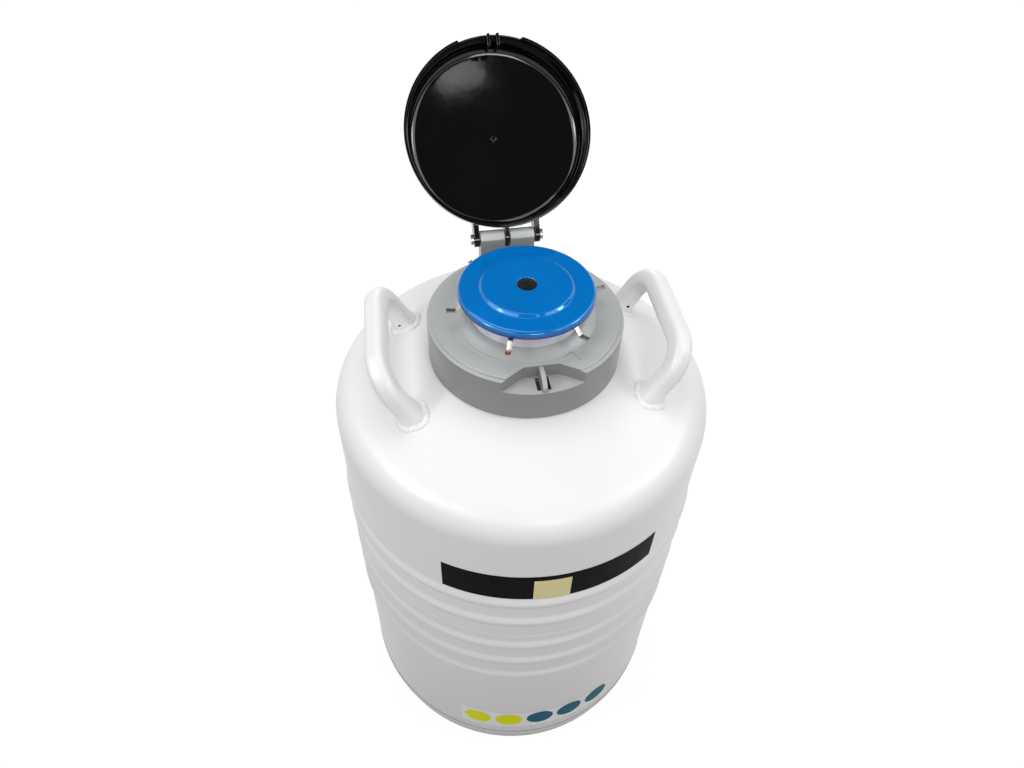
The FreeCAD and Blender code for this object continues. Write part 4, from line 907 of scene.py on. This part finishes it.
world = bpy.data.worlds.new("studio")
bpy.context.scene.world = world
world.use_nodes = True
tree = world.node_tree
up = add(tree, "SeparateXYZ", {"Vector": add(tree, "TexCoord").outputs["Generated"]})
light = add(tree, "MapRange", {"Value": up.outputs["Z"], "From Min": -0.1, "From Max": 0.9,
                               "To Min": 0.25, "To Max": 0.66})
level = add(tree, "Mix", {0: seen_directly(tree), 2: light, 3: 1.0})
add(tree, tree.nodes["Background"], {"Strength": level, "Color": (1, 1, 1, 1)})


def soft_box(name, place, target, size, watts):
    """A square area lamp at place that faces target, in metres."""
    lamp = bpy.data.lights.new(name, "AREA")
    lamp.size, lamp.energy = size, watts
    made = bpy.data.objects.new(name, lamp)
    bpy.context.scene.collection.objects.link(made)
    made.location = place
    made.rotation_euler = (Vector(target) - Vector(place)).to_track_quat("-Z", "Y").to_euler()
    return made


soft_box("left_box", (-1.85, -0.6, 1.85), (0, 0, 0.7), 0.5, 11.5)
soft_box("right_box", (1.85, -0.6, 1.85), (0, 0, 0.7), 0.5, 8.5)
soft_box("overhead_box", (-0.3, 0.75, 2.9), (0, 0, 0.7), 1.3, 13)
soft_box("front_box", (0.2, -2.0, 1.75), (0, 0, 0.5), 0.7, 12)
soft_box("rear_box", (0.3, 2.3, 1.3), (0, 0, 0.4), 0.9, 10)


def card(name, code, strength, middle, half_width, low, high, away=3.4):
    """A glowing card that glossy rays alone see, part of a sphere of radius away: it spans
    half_width either side of the azimuth middle and elevations low to high, in degrees."""
    turn, rise = np.meshgrid(np.radians(np.linspace(middle - half_width, middle + half_width, 24)),
                             np.radians(np.linspace(low, high, 12)))
    mesh = surface(name, away * np.stack([np.cos(rise) * np.cos(turn), np.cos(rise) * np.sin(turn),
                                          np.sin(rise)], -1) + (0, 0, 0.7), False, False)
    made = bpy.data.objects.new(name, mesh)
    bpy.context.scene.collection.objects.link(made)
    face, tree, shader = finish_of(name + "_face", {"Roughness": 1.0})
    glow = add(tree, "Emission", {"Color": linear(code), "Strength": strength})
    add(tree, tree.nodes["Material Output"], {"Surface": glow})
    made.data.materials.append(face)
    made.visible_camera = made.visible_diffuse = made.visible_shadow = False
    made.visible_transmission = made.visible_volume_scatter = False


card("front_card", "#545454", 1.0, -90.0, 100.0, 8.0, 82.0)
card("rear_card", "#303030", 1.0, 90.0, 55.0, 22.0, 78.0)
card("left_strip", "#ffffff", 3.8, 198.0, 42.0, 24.0, 48.0, 3.2)
card("right_strip", "#ffffff", 3.2, -16.0, 38.0, 24.0, 48.0, 3.2)
card("front_window", "#ffffff", 3.2, -72.5, 4.2, 41.5, 46.0, 3.2)
card("front_strip", "#ffffff", 1.2, -90.0, 36.0, 19.0, 32.0, 3.2)

eye = bpy.data.cameras.new("studio_camera")
eye.sensor_width, eye.lens = 36.0, 27.05
eye.shift_x, eye.shift_y = 0.0013, 0.0006
camera = bpy.data.objects.new("studio_camera", eye)
bpy.context.scene.collection.objects.link(camera)
camera.matrix_world = (Matrix.Translation((-0.15293, -0.64686, 1.30320)) @
                       Matrix.Rotation(math.radians(-12.10), 4, "Z") @
                       Matrix.Rotation(math.radians(43.19), 4, "X") @
                       Matrix.Rotation(math.radians(2.12), 4, "Z"))
bpy.context.scene.camera = camera
bpy.context.scene.view_settings.view_transform = "Standard"
